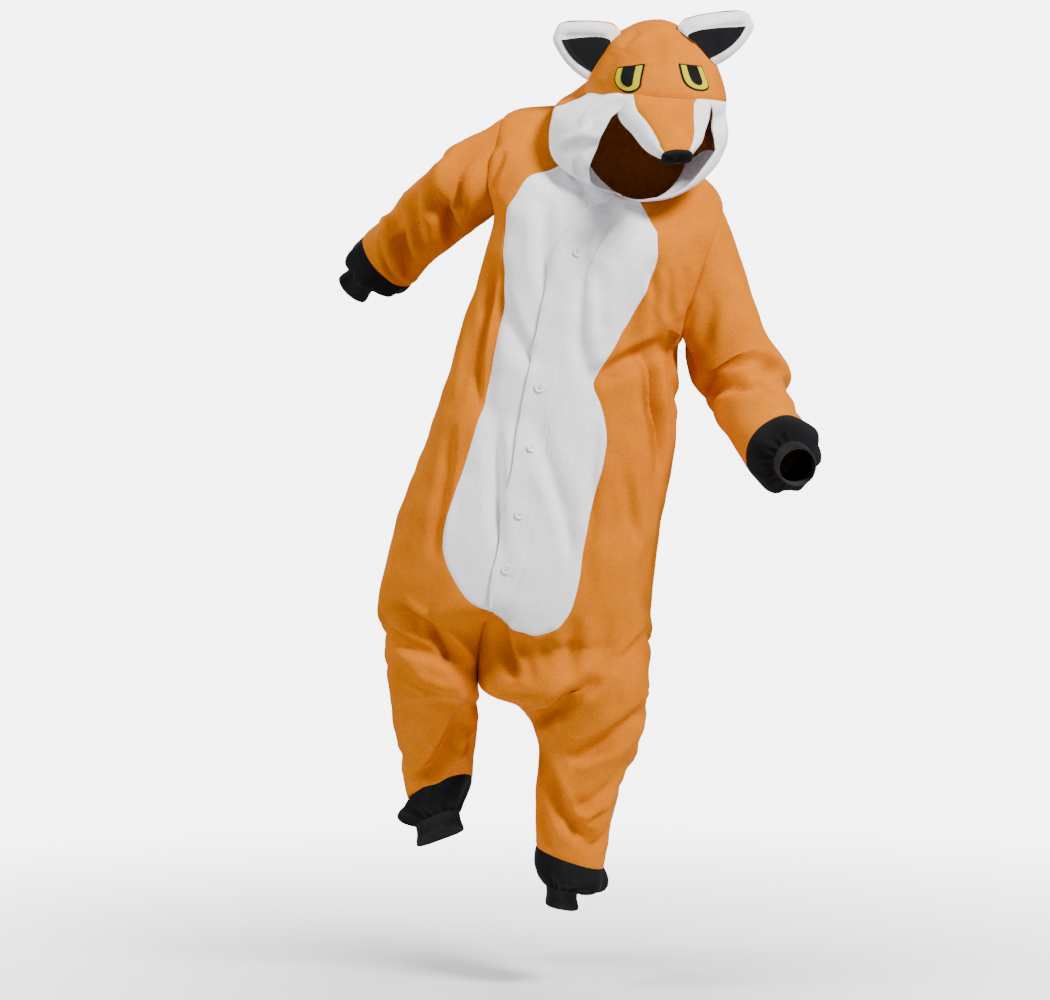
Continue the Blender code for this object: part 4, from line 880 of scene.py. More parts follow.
def show(name, mesh, material, node=None):
    """Adds a piece of the garment, which may stand for a node of the solid model."""
    thing = link(name, mesh)
    mesh.materials.append(MATERIALS[material])
    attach(thing, "root")
    if node:
        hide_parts(node)
    return thing


def stand_in(node, mesh, material):
    """Adds the piece that stands for a node of the solid model."""
    return show(f"{node}_cloth", mesh, material, node)


def make_shells(pieces):
    """Makes the pieces' shells, and keeps each piece's normals with it."""
    made = {}
    for piece, normal in zip(pieces, shared_normals(pieces)):
        piece.normal = normal
        inner = piece.grid - normal * piece.thickness
        mesh = shell(piece.name, piece.grid, inner, piece.closed)
        made[piece.name] = stand_in(piece.name, mesh, piece.material)
    return made


def facing_out(grid, backwards):
    """A grid with its columns in the order that makes its normals point out of the garment."""
    return grid[:, ::-1] if backwards else grid


# ---- the cut of the body ----
def steps(start, end, cells):
    """The ends of equal cells from start to end."""
    return np.linspace(start, end, cells + 1)


def side_levels():
    """Levels at the side of the rows that the fronts and backs share, from the ankle to the neck."""
    ring = (1 - np.cos(steps(0, math.pi, ARMHOLE_ROWS))) / 2
    foot = steps(0, 1, SIDE_ROWS) ** SIDE_CROWDING
    return np.concatenate([
        steps(0, CROTCH_SIDE, LEG_ROWS)[:-1],
        steps(CROTCH_SIDE, BELLY_FOOT_SIDE, HIP_ROWS)[:-1],
        (BELLY_FOOT_SIDE + foot * (ARMPIT - BELLY_FOOT_SIDE))[:-1],
        (ARMPIT + ring * (SHOULDER - ARMPIT))[:-1],
        steps(SHOULDER, NECK, SHOULDER_ROWS),
    ])


def centre_levels():
    """Levels of the same rows on the centre front and centre back."""
    rows = (0, CROTCH_SIDE, BELLY_FOOT_SIDE, EVEN, NECK)
    return np.interp(side_levels(), rows, (0, CROTCH, BELLY_FOOT, EVEN, NECK))


def armhole_half(level):
    """Half the turn that the armhole takes out of the side at each level."""
    middle = (ARMPIT + SHOULDER) / 2
    height = (SHOULDER - ARMPIT) / 2
    inside = np.clip(1 - ((level - middle) / height) ** 2, 0, None)
    return ARMHOLE_REACH / 2 * np.sqrt(inside)


SEARCHES = 7  # each on a grid of SEARCH_CELLS cells over the best part of the last
SEARCH_CELLS = 12


def found_in_front(surface, x, z, turns, levels):
    """(turn, level) of the surface's point that is seen at x, z in front view."""
    (turn0, turn1), (level0, level1) = turns, levels
    for search in range(SEARCHES):
        turn, level = np.meshgrid(steps(turn0, turn1, SEARCH_CELLS), steps(level0, level1, SEARCH_CELLS))
        point = surface(turn, level)
        miss = np.hypot(point[..., 0] - x, point[..., 2] - z)
        best = np.unravel_index(miss.argmin(), miss.shape)
        turn_reach, level_reach = (turn1 - turn0) / 8, (level1 - level0) / 8
        turn0 = np.clip(turn[best] - turn_reach, *turns)
        turn1 = np.clip(turn[best] + turn_reach, *turns)
        level0 = np.clip(level[best] - level_reach, *levels)
        level1 = np.clip(level[best] + level_reach, *levels)
    return turn[best], level[best]


@functools.cache
def belly_outline(side):
    """The belly panel's edge on the body's surface: its rows' levels at the side, and its points."""
    rows = np.array(BELLY_EDGE[side], float)
    turns, levels = (0, 0.48), (CROTCH + 1, NECK)
    found = [
        found_in_front(functools.partial(body, side), x * MM, z * MM, turns, levels)
        for x, z in rows[:, 1:]
    ]
    found[0] = (0, BELLY_FOOT)
    found[-1] = (found[-1][0], NECK)
    return rows[:, 0], np.array([(turn, height, 0) for turn, height in found])


def belly_edge(side, level):
    """(turns, levels) of the belly panel's edge, in the rows that meet the side at these levels."""
    rows, points = belly_outline(side)
    curve = loft(points[:, None], np.interp(level, rows, range(len(rows))))
    return curve[:, 0].clip(0), curve[:, 1]


def across(start, end, shares, bend=1):
    """Rows of (turn, level) pairs between two edges; bend makes the level change sooner."""
    (turn0, level0), (turn1, level1) = start, end
    turn = turn0[:, None] * (1 - shares) + turn1[:, None] * shares
    drop = 1 - (1 - shares) ** bend
    level = level0[:, None] * (1 - drop) + level1[:, None] * drop
    return turn, level


def body_pieces():
    """The fronts, the backs and the two halves of the white belly panel."""
    side_level = side_levels()
    centre_level = centre_levels()
    foot = LEG_ROWS + HIP_ROWS
    armhole = armhole_half(side_level)
    pieces = []
    for side, sign in SIDES.items():
        edge = belly_edge(side, side_level[foot:])
        inner = (np.r_[np.zeros(foot), edge[0]], np.r_[centre_level[:foot], edge[1]])
        outer = (0.5 - armhole, side_level)
        behind = (0.5 + armhole, side_level)
        centre_front = (np.zeros_like(edge[0]), centre_level[foot:])
        centre_back = (np.ones_like(centre_level), centre_level)
        cuts = {
            "front": across(inner, outer, steps(0, 1, FRONT_COLUMNS), FRONT_BEND),
            "belly": across(centre_front, edge, belly_shares(side)),
            "back": across(behind, centre_back, steps(0, 1, BACK_COLUMNS)),
        }
        for part, (turn, level) in cuts.items():
            grid = facing_out(body(side, turn, level), sign < 0)
            pieces.append(Piece(f"{part}_{side}", grid, "white" if part == "belly" else "orange", FLEECE))
    return pieces


def belly_shares(side):
    """Where the belly panel's columns lie in each row, from the centre front (0) to its edge (1)."""
    foot = LEG_ROWS + HIP_ROWS
    centre = centre_levels()[foot:]
    edge = belly_edge(side, side_levels()[foot:])
    wide = body(side, *across((np.zeros_like(centre), centre), edge, steps(0, 1, 12)))
    length = np.linalg.norm(np.diff(wide, axis=1), axis=2).sum(1)
    first = np.clip(PLACKET_WIDTH / 2 / np.maximum(length, MM), 0, 0.2)[:, None]
    beside = first + (1 - first) * steps(0, 1, BELLY_COLUMNS)
    return np.concatenate([first * steps(0, 1, PLACKET_COLUMNS)[:-1], beside], 1)


def armhole_ring(side):
    """Points round the armhole: from the armpit up its front edge and down its back edge."""
    levels = side_levels()
    first = LEG_ROWS + HIP_ROWS + SIDE_ROWS
    rim = levels[first:first + ARMHOLE_ROWS + 1]
    half = armhole_half(rim)
    front = body(side, 0.5 - half, rim)
    back = body(side, 0.5 + half, rim)
    return np.concatenate([front, back[-2:0:-1]])


# Gathers of a band: how many small and large ones go round it, their heights, and how high it bulges.
SMALL_GATHERS = 19
SMALL_HEIGHT = 0.0028
LARGE_GATHERS = 7
LARGE_HEIGHT = 0.0042
BAND_BULGE = 0.003
SMALL_AT = 0.86  # level near the gathered seam where the small ones are highest, and their reach
SMALL_REACH = 0.26
RIB_HEIGHT = 0.0009
CUFF_WAIST = 0.002  # how far a cuff draws in between its ends


def gathers(turn, level, seed, fullness):
    """How far a band puffs out and gathers: level 0 at the plain seam, 1 at the gathered one."""
    rng = np.random.default_rng(seed)
    round_turn = 2 * math.pi * turn
    wander = sum(
        rng.uniform(0.1, 0.35) * np.sin(k * round_turn + 2 * math.pi * rng.uniform()) for k in (1, 2, 3)
    )
    small = np.sin(SMALL_GATHERS * round_turn + 2.4 * wander)
    large = np.sin(LARGE_GATHERS * round_turn + 1.6 * wander + rng.uniform(0, 6))
    level = level[:, None]
    near = np.exp(-(((level - SMALL_AT) / SMALL_REACH) ** 2))
    middle = np.sin(math.pi * level.clip(0, 1)) ** 0.8
    bulge = np.sin(2 * round_turn + 2 * math.pi * rng.uniform())
    return fullness * (
        SMALL_HEIGHT * near * small + LARGE_HEIGHT * middle * large + BAND_BULGE * middle * bulge
    )


def ribs(turn):
    """The raised ribs of a knit cuff, and how the cuff draws in between its ends."""
    wave = RIB_HEIGHT * np.cos(2 * math.pi * RIBS * turn)
    return wave - CUFF_WAIST * np.sin(math.pi * steps(0, 1, CUFF_ROWS))[:, None]


# Folds that run round a sleeve. Each follows level = at + slant * cos + bow * sin of the turn.
SLEEVE_FOLDS = {
    #        at   slant   bow  deep  wide   shown round turn, and how far to both sides
    "left": (
        (4.90, 0.90, 0.00, 5, 0.24, 0.20, 0.22),
        (2.25, -0.25, 0.70, 4, 0.24, 0.20, 0.20),
    ),
    "right": (
        (3.30, -0.35, 0.00, 13, 0.30, 0.30, 0.22),
        (3.72, -0.75, 0.00, 10, 0.24, 0.42, 0.10),
        (4.50, -0.70, 0.00, 10, 0.28, 0.28, 0.16),
        (3.55, 0.10, 0.00, 9, 0.24, 0.04, 0.11),
    ),
}


def sleeve_folds(side, turn, levels):
    """How far the folds round a sleeve sink and raise its points."""
    rise = np.zeros((len(levels), len(turn)))
    for at, slant, bow, deep, wide, middle, spread in SLEEVE_FOLDS[side]:
        line = at + slant * np.cos(2 * math.pi * turn) + bow * np.sin(2 * math.pi * turn)
        off = abs(levels[:, None] - line) / wide
        aside = (turn - middle + 0.5) % 1 - 0.5
        rise += np.exp(-((aside / spread) ** 2)) * deep * MM * fold_profile(off, SLEEVE_RIDGE)
    return rise


def tube_pieces():
    """Sleeves, bands and cuffs."""
    pieces = []
    rib_turn = np.arange(RIBS * RIB_CELLS) / (RIBS * RIB_CELLS)
    ankle_turn = ankle_turns()
    band = steps(0, 1, BAND_ROWS)
    for seed, (side, sign) in enumerate(SIDES.items()):
        ring = armhole_ring(side)
        turn = np.arange(len(ring)) / len(ring)
        arm = [ring] + sleeve_rings(side, turn)
        wrist = sleeve_rings(side, rib_turn)
        sections = marks(ANKLE_SECTIONS[side])
        ankle = [limb_section(ankle_turn, section) for section in sections]
        ribbed = [limb_section(rib_turn, section) for section in sections]
        end = len(arm) - 1
        sleeve = steps(0, end - 3, (end - 3) * TUBE_ROWS)
        wrist_band, ankle_band = steps(end - 3, end - 1, BAND_ROWS), steps(0, 2, BAND_ROWS)
        cuts = (
            # name, sections, levels, material, and the rise of its folds, gathers or ribs
            ("sleeve", arm, sleeve, "orange", sleeve_folds(side, turn, sleeve)),
            ("wrist_band", arm, wrist_band, "black", gathers(turn, band, seed, 0.8)),
            ("wrist_cuff", wrist, steps(end - 2, end - 1, CUFF_ROWS), "rib", ribs(rib_turn)),
            ("ankle_band", ankle, ankle_band, "black", gathers(ankle_turn, band, seed + 5, 1.0)),
            ("ankle_cuff", ribbed, steps(2, 3, CUFF_ROWS), "rib", ribs(rib_turn)),
        )
        for name, rings, levels, material, rise in cuts:
            grid = facing_out(tube_grid(rings, levels), sign > 0)
            rise = facing_out(rise, sign > 0)
            thickness = RIB if material == "rib" else FLEECE
            pieces.append(Piece(f"{name}_{side}", grid, material, thickness, closed=True, rise=rise))
    return pieces


def tube_grid(rings, levels):
    """The points round a tube at each of the levels of its rings."""
    rings = np.array(rings)
    return np.array([loft(rings, np.full(rings.shape[1], level)) for level in levels])


def ankle_turns():
    """Turns of the columns round an ankle, the same as the front's and the back's."""
    front = steps(0, 0.5, FRONT_COLUMNS)
    back = steps(1, 0.5, BACK_COLUMNS)
    return np.concatenate([front, back[::-1][1:-1]])


# ---- hood ----
def neck_shares(side):
    """Where the seam points of the body's neckline lie, from the centre front to the side."""
    edge = belly_edge(side, np.array([NECK]))[0][0] * 2
    belly = belly_shares(side)[-1]
    front = edge + (1 - edge) * steps(0, 1, FRONT_COLUMNS)
    return np.concatenate([belly * edge, front[1:]])


def hood_pieces():
    """The white cheeks and the two halves of the orange crown."""
    pieces = []
    rows = steps(0, len(CHEEK_LEVELS) - 1, CHEEK_ROWS)
    cheek_levels = np.interp(rows, range(len(CHEEK_LEVELS)), CHEEK_LEVELS)
    for side, sign in SIDES.items():
        opening = np.array(FACE_EDGE[side]) / 360
        shares = neck_shares(side)
        edge = np.interp(cheek_levels, range(HOOD_SEAM + 1), opening)
        behind = np.full_like(edge, CHEEK_BACK)
        turn, level = across((edge, cheek_levels), (behind, cheek_levels), shares)
        grid = facing_out(hood(sign * turn, level), sign < 0)
        pieces.append(Piece(f"hood_cheek_{side}", grid, "white", FLEECE))

        # The crown's rows start at its seam: up behind the cheek, along its top and the forehead,
        # and then up the line over the middle of the head.
        seam_turn = np.concatenate([
            behind[:-1],
            turn[-1, :0:-1],
            steps(opening[-1], 0, BROW_COLUMNS)[:-1],
            np.zeros(CROWN_ROWS + 1),
        ])
        seam_cells = len(shares) - 1 + BROW_COLUMNS
        seam_level = np.concatenate([
            cheek_levels[:-1],
            np.full(seam_cells, float(HOOD_SEAM)),
            steps(HOOD_SEAM, HOOD_TOP, CROWN_ROWS),
        ])
        corner = len(cheek_levels) - 1
        nape = np.interp(
            np.arange(len(seam_turn)),
            (0, corner, corner + seam_cells, len(seam_turn) - 1),
            (0, HOOD_SEAM, NAPE_BEND, HOOD_TOP),
        )
        # Rows leave the seam upwards and then run back.
        share = steps(0, 1, BACK_COLUMNS)
        back = share**CROWN_BEND
        up = 1 - (1 - share) ** CROWN_BEND
        turn = sign * (seam_turn[:, None] * (1 - back) + 0.5 * back)
        level = seam_level[:, None] * (1 - up) + nape[:, None] * up
        grid = facing_out(hood(turn, level), sign < 0)
        below_top = len(seam_turn) - CROWN_ROWS
        normal = facing_out(outward_normal(hood, turn[:below_top], level[:below_top]), sign < 0)
        dip = np.ones((len(grid), 1))
        dip[-CROWN_ROWS - 1:] = BROW_DIP
        pieces.append(Piece(f"hood_crown_{side}", grid, "orange", FLEECE, normal=normal, dip=dip))
    return pieces


# ---- muzzle, eyes and ears ----
def muzzle_pieces():
    """An orange top and two white sides, which meet under the muzzle, and the black nose."""
    last = len(MUZZLE_SECTIONS) - 1
    levels = steps(0, last, MUZZLE_ROWS)
    reach = np.array([row[4:] for row in MUZZLE_SECTIONS])
    left, right = (loft(np.c_[column, column, column][:, None], levels)[:, 0] for column in reach.T)
    left = np.minimum(left, MUZZLE_LEFT_REACH)
    opening = [FACE_EDGE[side][-1] / 360 for side in SIDES]
    turns = np.r_[steps(-opening[0], 0, BROW_COLUMNS), steps(0, opening[1], BROW_COLUMNS)[1:]]
    seam = hood(turns, HOOD_SEAM)
    half = np.full_like(levels, 0.5)
    spans = {
        "muzzle_top": (-left, right, 2 * BROW_COLUMNS - FINE),
        "muzzle_side_right": (right, half, MUZZLE_COLUMNS),
        "muzzle_side_left": (half, 1 - left, MUZZLE_COLUMNS),
    }
    wall = np.full((len(levels), 1, 1), PADDING)
    wall[0] = FLEECE  # at the forehead seam
    wall[-1] = NOSE_WALL
    fade = (1 - levels / levels[MUZZLE_ROWS // 5]).clip(0, 1)[:, None, None] ** 1.5
    ease = (1 - steps(0, 1, SEAM_EASE))[:, None] ** 2
    pieces = []
    for name, (start, end, cells) in spans.items():
        turn, level = across((start, levels), (end, levels), steps(0, 1, cells))
        squareness = np.interp(level, (SQUARED, last), (MUZZLE_SQUARENESS, NOSE_SQUARENESS))
        grid = muzzle(MUZZLE_SECTIONS, turn, level, squareness)
        # The first row is drawn to the forehead seam, which goes on a little along the right side.
        shift = np.zeros((cells + 1, 3))
        if name == "muzzle_top":
            shift[:] = seam[:-FINE] - grid[0]
        elif name == "muzzle_side_right":
            shift[:FINE + 1] = seam[-FINE - 1:] - grid[0, :FINE + 1]
            shift[FINE:FINE + len(ease)] = shift[FINE] * ease
        else:
            shift[-len(ease):] = (seam[0] - grid[0, -1]) * ease[::-1]
        material = "orange" if name == "muzzle_top" else "white"
        pieces.append(Piece(name, facing_out(grid + fade * shift, True), material, wall))
    turn, level = np.meshgrid(
        steps(0, 1, NOSE_COLUMNS)[:-1], steps(0, len(NOSE_SECTIONS) - 1, NOSE_ROWS)
    )
    nose = muzzle(NOSE_SECTIONS, turn, level, NOSE_SQUARENESS)
    pieces.append(Piece("nose", facing_out(nose, True), "black", NOSE_WALL, closed=True))
    return pieces


def on_crown(seen, turns):
    """(turn, level) on the hood's crown of marks that are given in front view."""
    levels = (HOOD_SEAM, HOOD_TOP)
    return np.array([found_in_front(hood, x * MM, z * MM, turns, levels) for x, z in seen])


OVER_REACH = 20 * MM
OVER_LOWEST = -0.004


def over(points, normal, name):
    """How far the named piece's outside stands above each of the points, along its normal."""
    rise = np.full(points.shape[:-1], OVER_LOWEST)
    mesh = bpy.data.objects[name].data
    tree = BVHTree.FromPolygons([v.co for v in mesh.vertices], [p.vertices for p in mesh.polygons])
    for k in np.ndindex(rise.shape):
        start = Vector(points[k] + normal[k] * OVER_REACH)
        distance = tree.ray_cast(start, Vector(-normal[k]), 2 * OVER_REACH)[3]
        if distance is not None:
            rise[k] = max(rise[k], OVER_REACH - distance)
    return rise


EYE_LAYERS = (
    # name, material, share of the width, top and bottom as shares of the height
    ("edge", "black", 1.0, 0.0, 1.0),
    ("iris", "felt", 0.87, 0.055, 0.94),
    ("pupil", "black", 0.44, 0.04, 0.76),
)
EYE_ROUNDING = 4.5  # how late the sides of an eye turn in to its round foot
EYE_CELLS = 24
FELT = 0.0010  # thickness of each layer of the eyes


def eyes():
    """Each eye is three layers: a black edge, a yellow iris and a black pupil."""
    down = np.sin(steps(0, math.pi / 2, EYE_CELLS))[:, None]
    narrowed = np.sqrt(1 - down**EYE_ROUNDING) * steps(-1, 1, EYE_CELLS)
    for side, corners in EYES.items():
        top_left, top_right, low_right, low_left = on_crown(corners, EYE_TURNS[side])
        for number, (layer, material, width, top, bottom) in enumerate(EYE_LAYERS):
            u = (0.5 + 0.5 * width * narrowed)[..., None]
            v = (top + (bottom - top) * down)[..., None]
            high = top_left * (1 - u) + top_right * u
            foot = low_left * (1 - u) + low_right * u
            turn, level = np.moveaxis(high * (1 - v) + foot * v, -1, 0)
            normal = outward_normal(hood, turn, level)
            point = hood(turn, level)
            rise = over(point, normal, f"hood_crown_{side}_cloth")[..., None]
            low = rise + SEAM_GAP + number * (FELT + SEAM_GAP)
            node = f"eye_{layer}_{side}"
            mesh = shell(node, point + normal * (low + FELT), point + normal * low)
            stand_in(node, mesh, material)


def ear_front(a, b, foot_width, tip_width):
    """How far the ear's front stands out: a stuffed roll round its edge, sunk inside the roll."""
    aside = (1 - abs(b)) * (foot_width * (1 - a) + tip_width * a) / 2
    above = (1 - a) * EAR_LENGTH
    reach = (aside.clip(1e-5) ** -4 + above.clip(1e-5) ** -4) ** -0.25
    roll = np.sqrt((1 - (reach.clip(0, 2 * EAR_ROLL) / EAR_ROLL - 1) ** 2).clip(0)) * EAR_ROLL
    return np.where(reach < EAR_ROLL, roll, np.maximum(roll, EAR_SUNK))


def rounded_off(share):
    """How a thing narrows from 1 as share goes to 1, where it is rounded off."""
    return np.sqrt(1 - EAR_ENDS * share**2)


class Ear:
    """The surfaces of one ear: a is the height on it, b the place across it from -1 to 1."""

    def __init__(self, side):
        base_top, base_side, tip_top, tip_side = EARS[side]
        self.b = np.sin(steps(-math.pi / 2, math.pi / 2, EAR_CELLS))
        share = ((self.b + 1) / 2)[:, None]
        ends = on_crown((base_top, base_side), EAR_TURNS[side])
        turn, level = (ends[0] * (1 - share) + ends[1] * share).T
        self.tip = marks(tip_top) * (1 - share) + marks(tip_side) * share
        self.foot = hood(turn, level) + outward_normal(hood, turn, level) * EAR_GAP
        swing = EAR_FOOT * rounded_off(self.b) * np.sign(turn)
        self.feet = {}
        for face, sign in EAR_FACES.items():
            edge = turn - sign * swing
            self.feet[face] = hood(edge, level) + outward_normal(hood, edge, level) * EAR_GAP - self.foot
        across_foot = self.foot[-1] - self.foot[0]
        forward = unit(np.cross(self.tip[0] - self.foot[0], across_foot))
        self.forward = forward * -np.sign(forward[1])
        self.bow = unit(across_foot)
        self.foot_width = np.linalg.norm(across_foot)
        self.tip_width = np.linalg.norm(self.tip[-1] - self.tip[0])

    def depth(self, a, wide, face):
        """How far a face stands out from the middle of the ear."""
        if face == "front":
            return ear_front(a, wide, self.foot_width, self.tip_width)
        full = EAR_RIM + (1 - EAR_RIM) * np.sqrt((1 - wide**2).clip(0))
        thin = rounded_off(((a - EAR_THIN_FROM) / (1 - EAR_THIN_FROM)).clip(0, 1))
        return EAR_DEPTH * full * (1 - EAR_TAPER * a) * thin

    def layer(self, a, b_share, face, lift=0):
        """Points at heights a and at shares of the half width, raised by lift."""
        a = np.asarray(a)[:, None, None]
        to_tip = ((a[..., 0] - EAR_ROUNDED_FROM) / (1 - EAR_ROUNDED_FROM)).clip(0, 1)
        wide = b_share * (1 - EAR_ROUND * to_tip**3)
        pick = ((wide + 1) / 2)[..., None]
        column = np.interp(wide, self.b, np.arange(len(self.b)))
        low = np.floor(column).astype(int).clip(0, len(self.b) - 2)
        part = (column - low)[..., None]

        def at(values):
            return values[low] * (1 - part) + values[low + 1] * part

        # Both bows are 1 where they are highest.
        down = EAR_BOW * (4 * a * (1 - a)) * pick
        up = EAR_RISE * (2.6 * np.sqrt(a) * (1 - a)) * (1 - pick)
        if face == "back":
            up = up + EAR_LIP * (1 - pick) * (a / EAR_NEAR_FOOT).clip(0, 1)
        middle = at(self.foot) * (1 - a) + at(self.tip) * a + self.bow * (down - up)
        out = self.forward * EAR_FACES[face]
        near_foot = (1 - a / EAR_NEAR_FOOT).clip(0)
        depth = self.depth(a, wide[..., None], face)
        return middle + at(self.feet[face]) * near_foot + out * (depth * (1 - near_foot) + lift)

    def inside_widths(self, rows):
        """Where the columns of the black inside lie, as shares of the ear's half width."""
        share = rows / EAR_BLACK_TOP
        width = 1 - rows + self.tip_width / self.foot_width * rows
        middle = EAR_BLACK_APEX * share
        half = EAR_BLACK_FOOT * (1 - share) + EAR_BLACK_TIP * (1 - share**8)
        bulge = EAR_BLACK_BULGE * share * (1 - share)
        first, last = (middle - half) / width, (middle + half + bulge) / width
        return first[:, None] + (last - first)[:, None] * steps(0, 1, EAR_CELLS)


def ears():
    """Stuffed ears: an orange back with a black tip, a white front and a black inside on it."""
    other_face = {"front": "back", "back": "front"}
    parts = (
        # name, heights, face, material
        ("ear_back", steps(0, EAR_SPLIT, EAR_CELLS), "back", "orange"),
        ("ear_tip", steps(EAR_SPLIT + EAR_SPLIT_GAP, 1, EAR_CELLS // 2), "back", "black"),
        ("ear_front", steps(0, 1, EAR_CELLS), "front", "white"),
    )
    for side in EARS:
        ear = Ear(side)
        for part, rows, face, material in parts:
            name = f"{part}_{side}"
            outer = ear.layer(rows, ear.b, face)
            middle = (outer + ear.layer(rows, ear.b, other_face[face])) / 2
            seam = ear.forward * EAR_FACES[face] * SEAM_GAP / 2
            thing = stand_in(name, shell(name, outer + seam, middle + seam), material)
        rows = steps(0, EAR_BLACK_TOP, EAR_CELLS)
        widths = ear.inside_widths(rows)
        name = f"ear_inner_{side}"
        low = SEAM_GAP * 2
        outer = ear.layer(rows, widths, "front", low + FLEECE * 0.5)
        inner = ear.layer(rows, widths, "front", low)
        stand_in(name, shell(name, outer, inner), "black")


# ---- placket and buttons ----
BUTTONS = (-125, -362, -467, -583, -678)  # heights of the buttons on the placket
BUTTON_PROFILE = (
    # share of the radius, of the thickness: from the flat of the back round to the flat of the face
    (0.55, 0), (0.86, 0.05), (0.97, 0.28), (1.0, 0.52), (0.985, 0.78), (0.93, 0.95), (0.86, 1.0),
    (0.78, 0.95), (0.70, 0.78), (0.62, 0.70), (0.3, 0.70),
)
BUTTON_CELLS = 40
HOLE_RADIUS = 0.0011
HOLE_SPREAD = 0.0019  # of the holes' middles from the button's, along both axes
BUTTON_FACE = 0.70  # height of the sunk face, as a share of the thickness
BUTTON_LIFT = 0.0012  # of a button's back above the placket's face
THREAD_RADIUS = 0.0006
THREAD_RISE = 0.0007  # how far a thread stands above the button's face between two holes
THREAD_SINK = 0.0010  # and how far its ends go down into them
THREAD_OVER = 0.0004  # how far the second stitch passes above the first
STITCH = 0.0034  # length of a stitch
STITCH_PITCH = 0.0048  # from one stitch to the next
STITCH_RADIUS = 0.00045
# A stitch: share of its length, share of its full thickness.
STITCH_PROFILE = ((0, 0.0), (0.18, 0.85), (0.5, 1.0), (0.82, 0.85), (1, 0.0))
PLACKET_THICKNESS = 1.5 * FLEECE
# Column by column from the left edge: share of the full thickness, and how far it stands off, in mm.
PLACKET_WALL = (0.6, 1, 1, 1, 1, 1, 1, 1, 1, 0.9, 0.4)
PLACKET_LIFT = (2.6, 1.9, 1.0, 0.4, 0, 0, 0, 0, 0, 0, 0)


def placket(pieces):
    """The button placket over both belly panels' edges; returns its middle line and normals."""
    left, right = (next(p for p in pieces if p.name == f"belly_{side}") for side in SIDES)
    middle = PLACKET_COLUMNS
    grid, normal = (
        np.concatenate([of_left[2:-2, -1 - middle:-1], of_right[2:-2, :middle + 1]], 1)
        for of_left, of_right in ((left.grid, right.grid), (left.normal, right.normal))
    )
    smooth = grid.copy()
    for smoothing in range(3):
        smooth[1:-1] = (smooth[:-2] + 2 * smooth[1:-1] + smooth[2:]) / 4
    # The two panels sink at the seam under the placket, but the placket bridges it.
    for aside in (-1, 0, 1):
        share = (aside + 2) / 4
        smooth[:, middle + aside] = smooth[:, middle - 2] * (1 - share) + smooth[:, middle + 2] * share
    rise = ((smooth - grid) * normal).sum(-1, keepdims=True).clip(0) + SEAM_GAP
    lifted, wall = (np.array(row)[None, :, None] for row in (PLACKET_LIFT, PLACKET_WALL))
    low = grid + normal * (rise + lifted * MM)
    face = low + normal * PLACKET_THICKNESS * wall
    thing = stand_in("placket", shell("placket", face, low), "white")
    rows = [
        stitches(f"placket_stitches_{side}", face[:, column], normal[:, column])
        for side, column in (("left", 1), ("right", -2))
    ]
    return face[:, middle], normal[:, middle]


def strand(middles, radii, aside, out, cells):
    """Rings of points round a piece of thread."""
    angle = steps(0, 2 * math.pi, cells)[:-1, None]
    ring = aside * np.cos(angle) + out * np.sin(angle)
    return np.array([middle + ring * radius for middle, radius in zip(middles, radii)])


def threads(name, strands, capped):
    """A mesh of pieces of thread, which may be closed at their ends."""
    points, faces = np.concatenate([rings.reshape(-1, 3) for rings in strands]), []
    first = 0
    for rings in strands:
        index = first + np.arange(rings[..., 0].size).reshape(rings.shape[:2])
        faces += quads(index, closed=True).tolist()
        if capped:
            faces += [index[0, ::-1].tolist(), index[-1].tolist()]
        first += index.size
    mesh = bpy.data.meshes.new(name)
    mesh.from_pydata(points.tolist(), [], faces)
    mesh.shade_smooth()
    return mesh


def stitches(name, line, normals):
    """A row of stitches along a line of points."""
    length = np.concatenate([[0], np.linalg.norm(np.diff(line, axis=0), axis=1).cumsum()])

    def at(values, where):
        return np.stack([np.interp(where, length, values[:, k]) for k in range(3)], -1)

    strands = []
    for start in np.arange(STITCH_PITCH, length[-1] - STITCH_PITCH, STITCH_PITCH):
        out = unit(at(normals, start))
        way = unit(at(line, start + STITCH) - at(line, start))
        middles = [
            at(line, start + STITCH * share) + out * STITCH_RADIUS * (0.9 * wide - 0.5)
            for share, wide in STITCH_PROFILE
        ]
        radii = [STITCH_RADIUS * max(wide, 0.2) for share, wide in STITCH_PROFILE]
        strands.append(strand(middles, radii, np.cross(way, out), out, 6))
    return show(name, threads(name, strands, capped=True), "white_thread")


def mesh_from(work, name):
    """Ends the work on a mesh."""
    mesh = bpy.data.meshes.new(name)
    work.to_mesh(mesh)
    work.free()
    return mesh


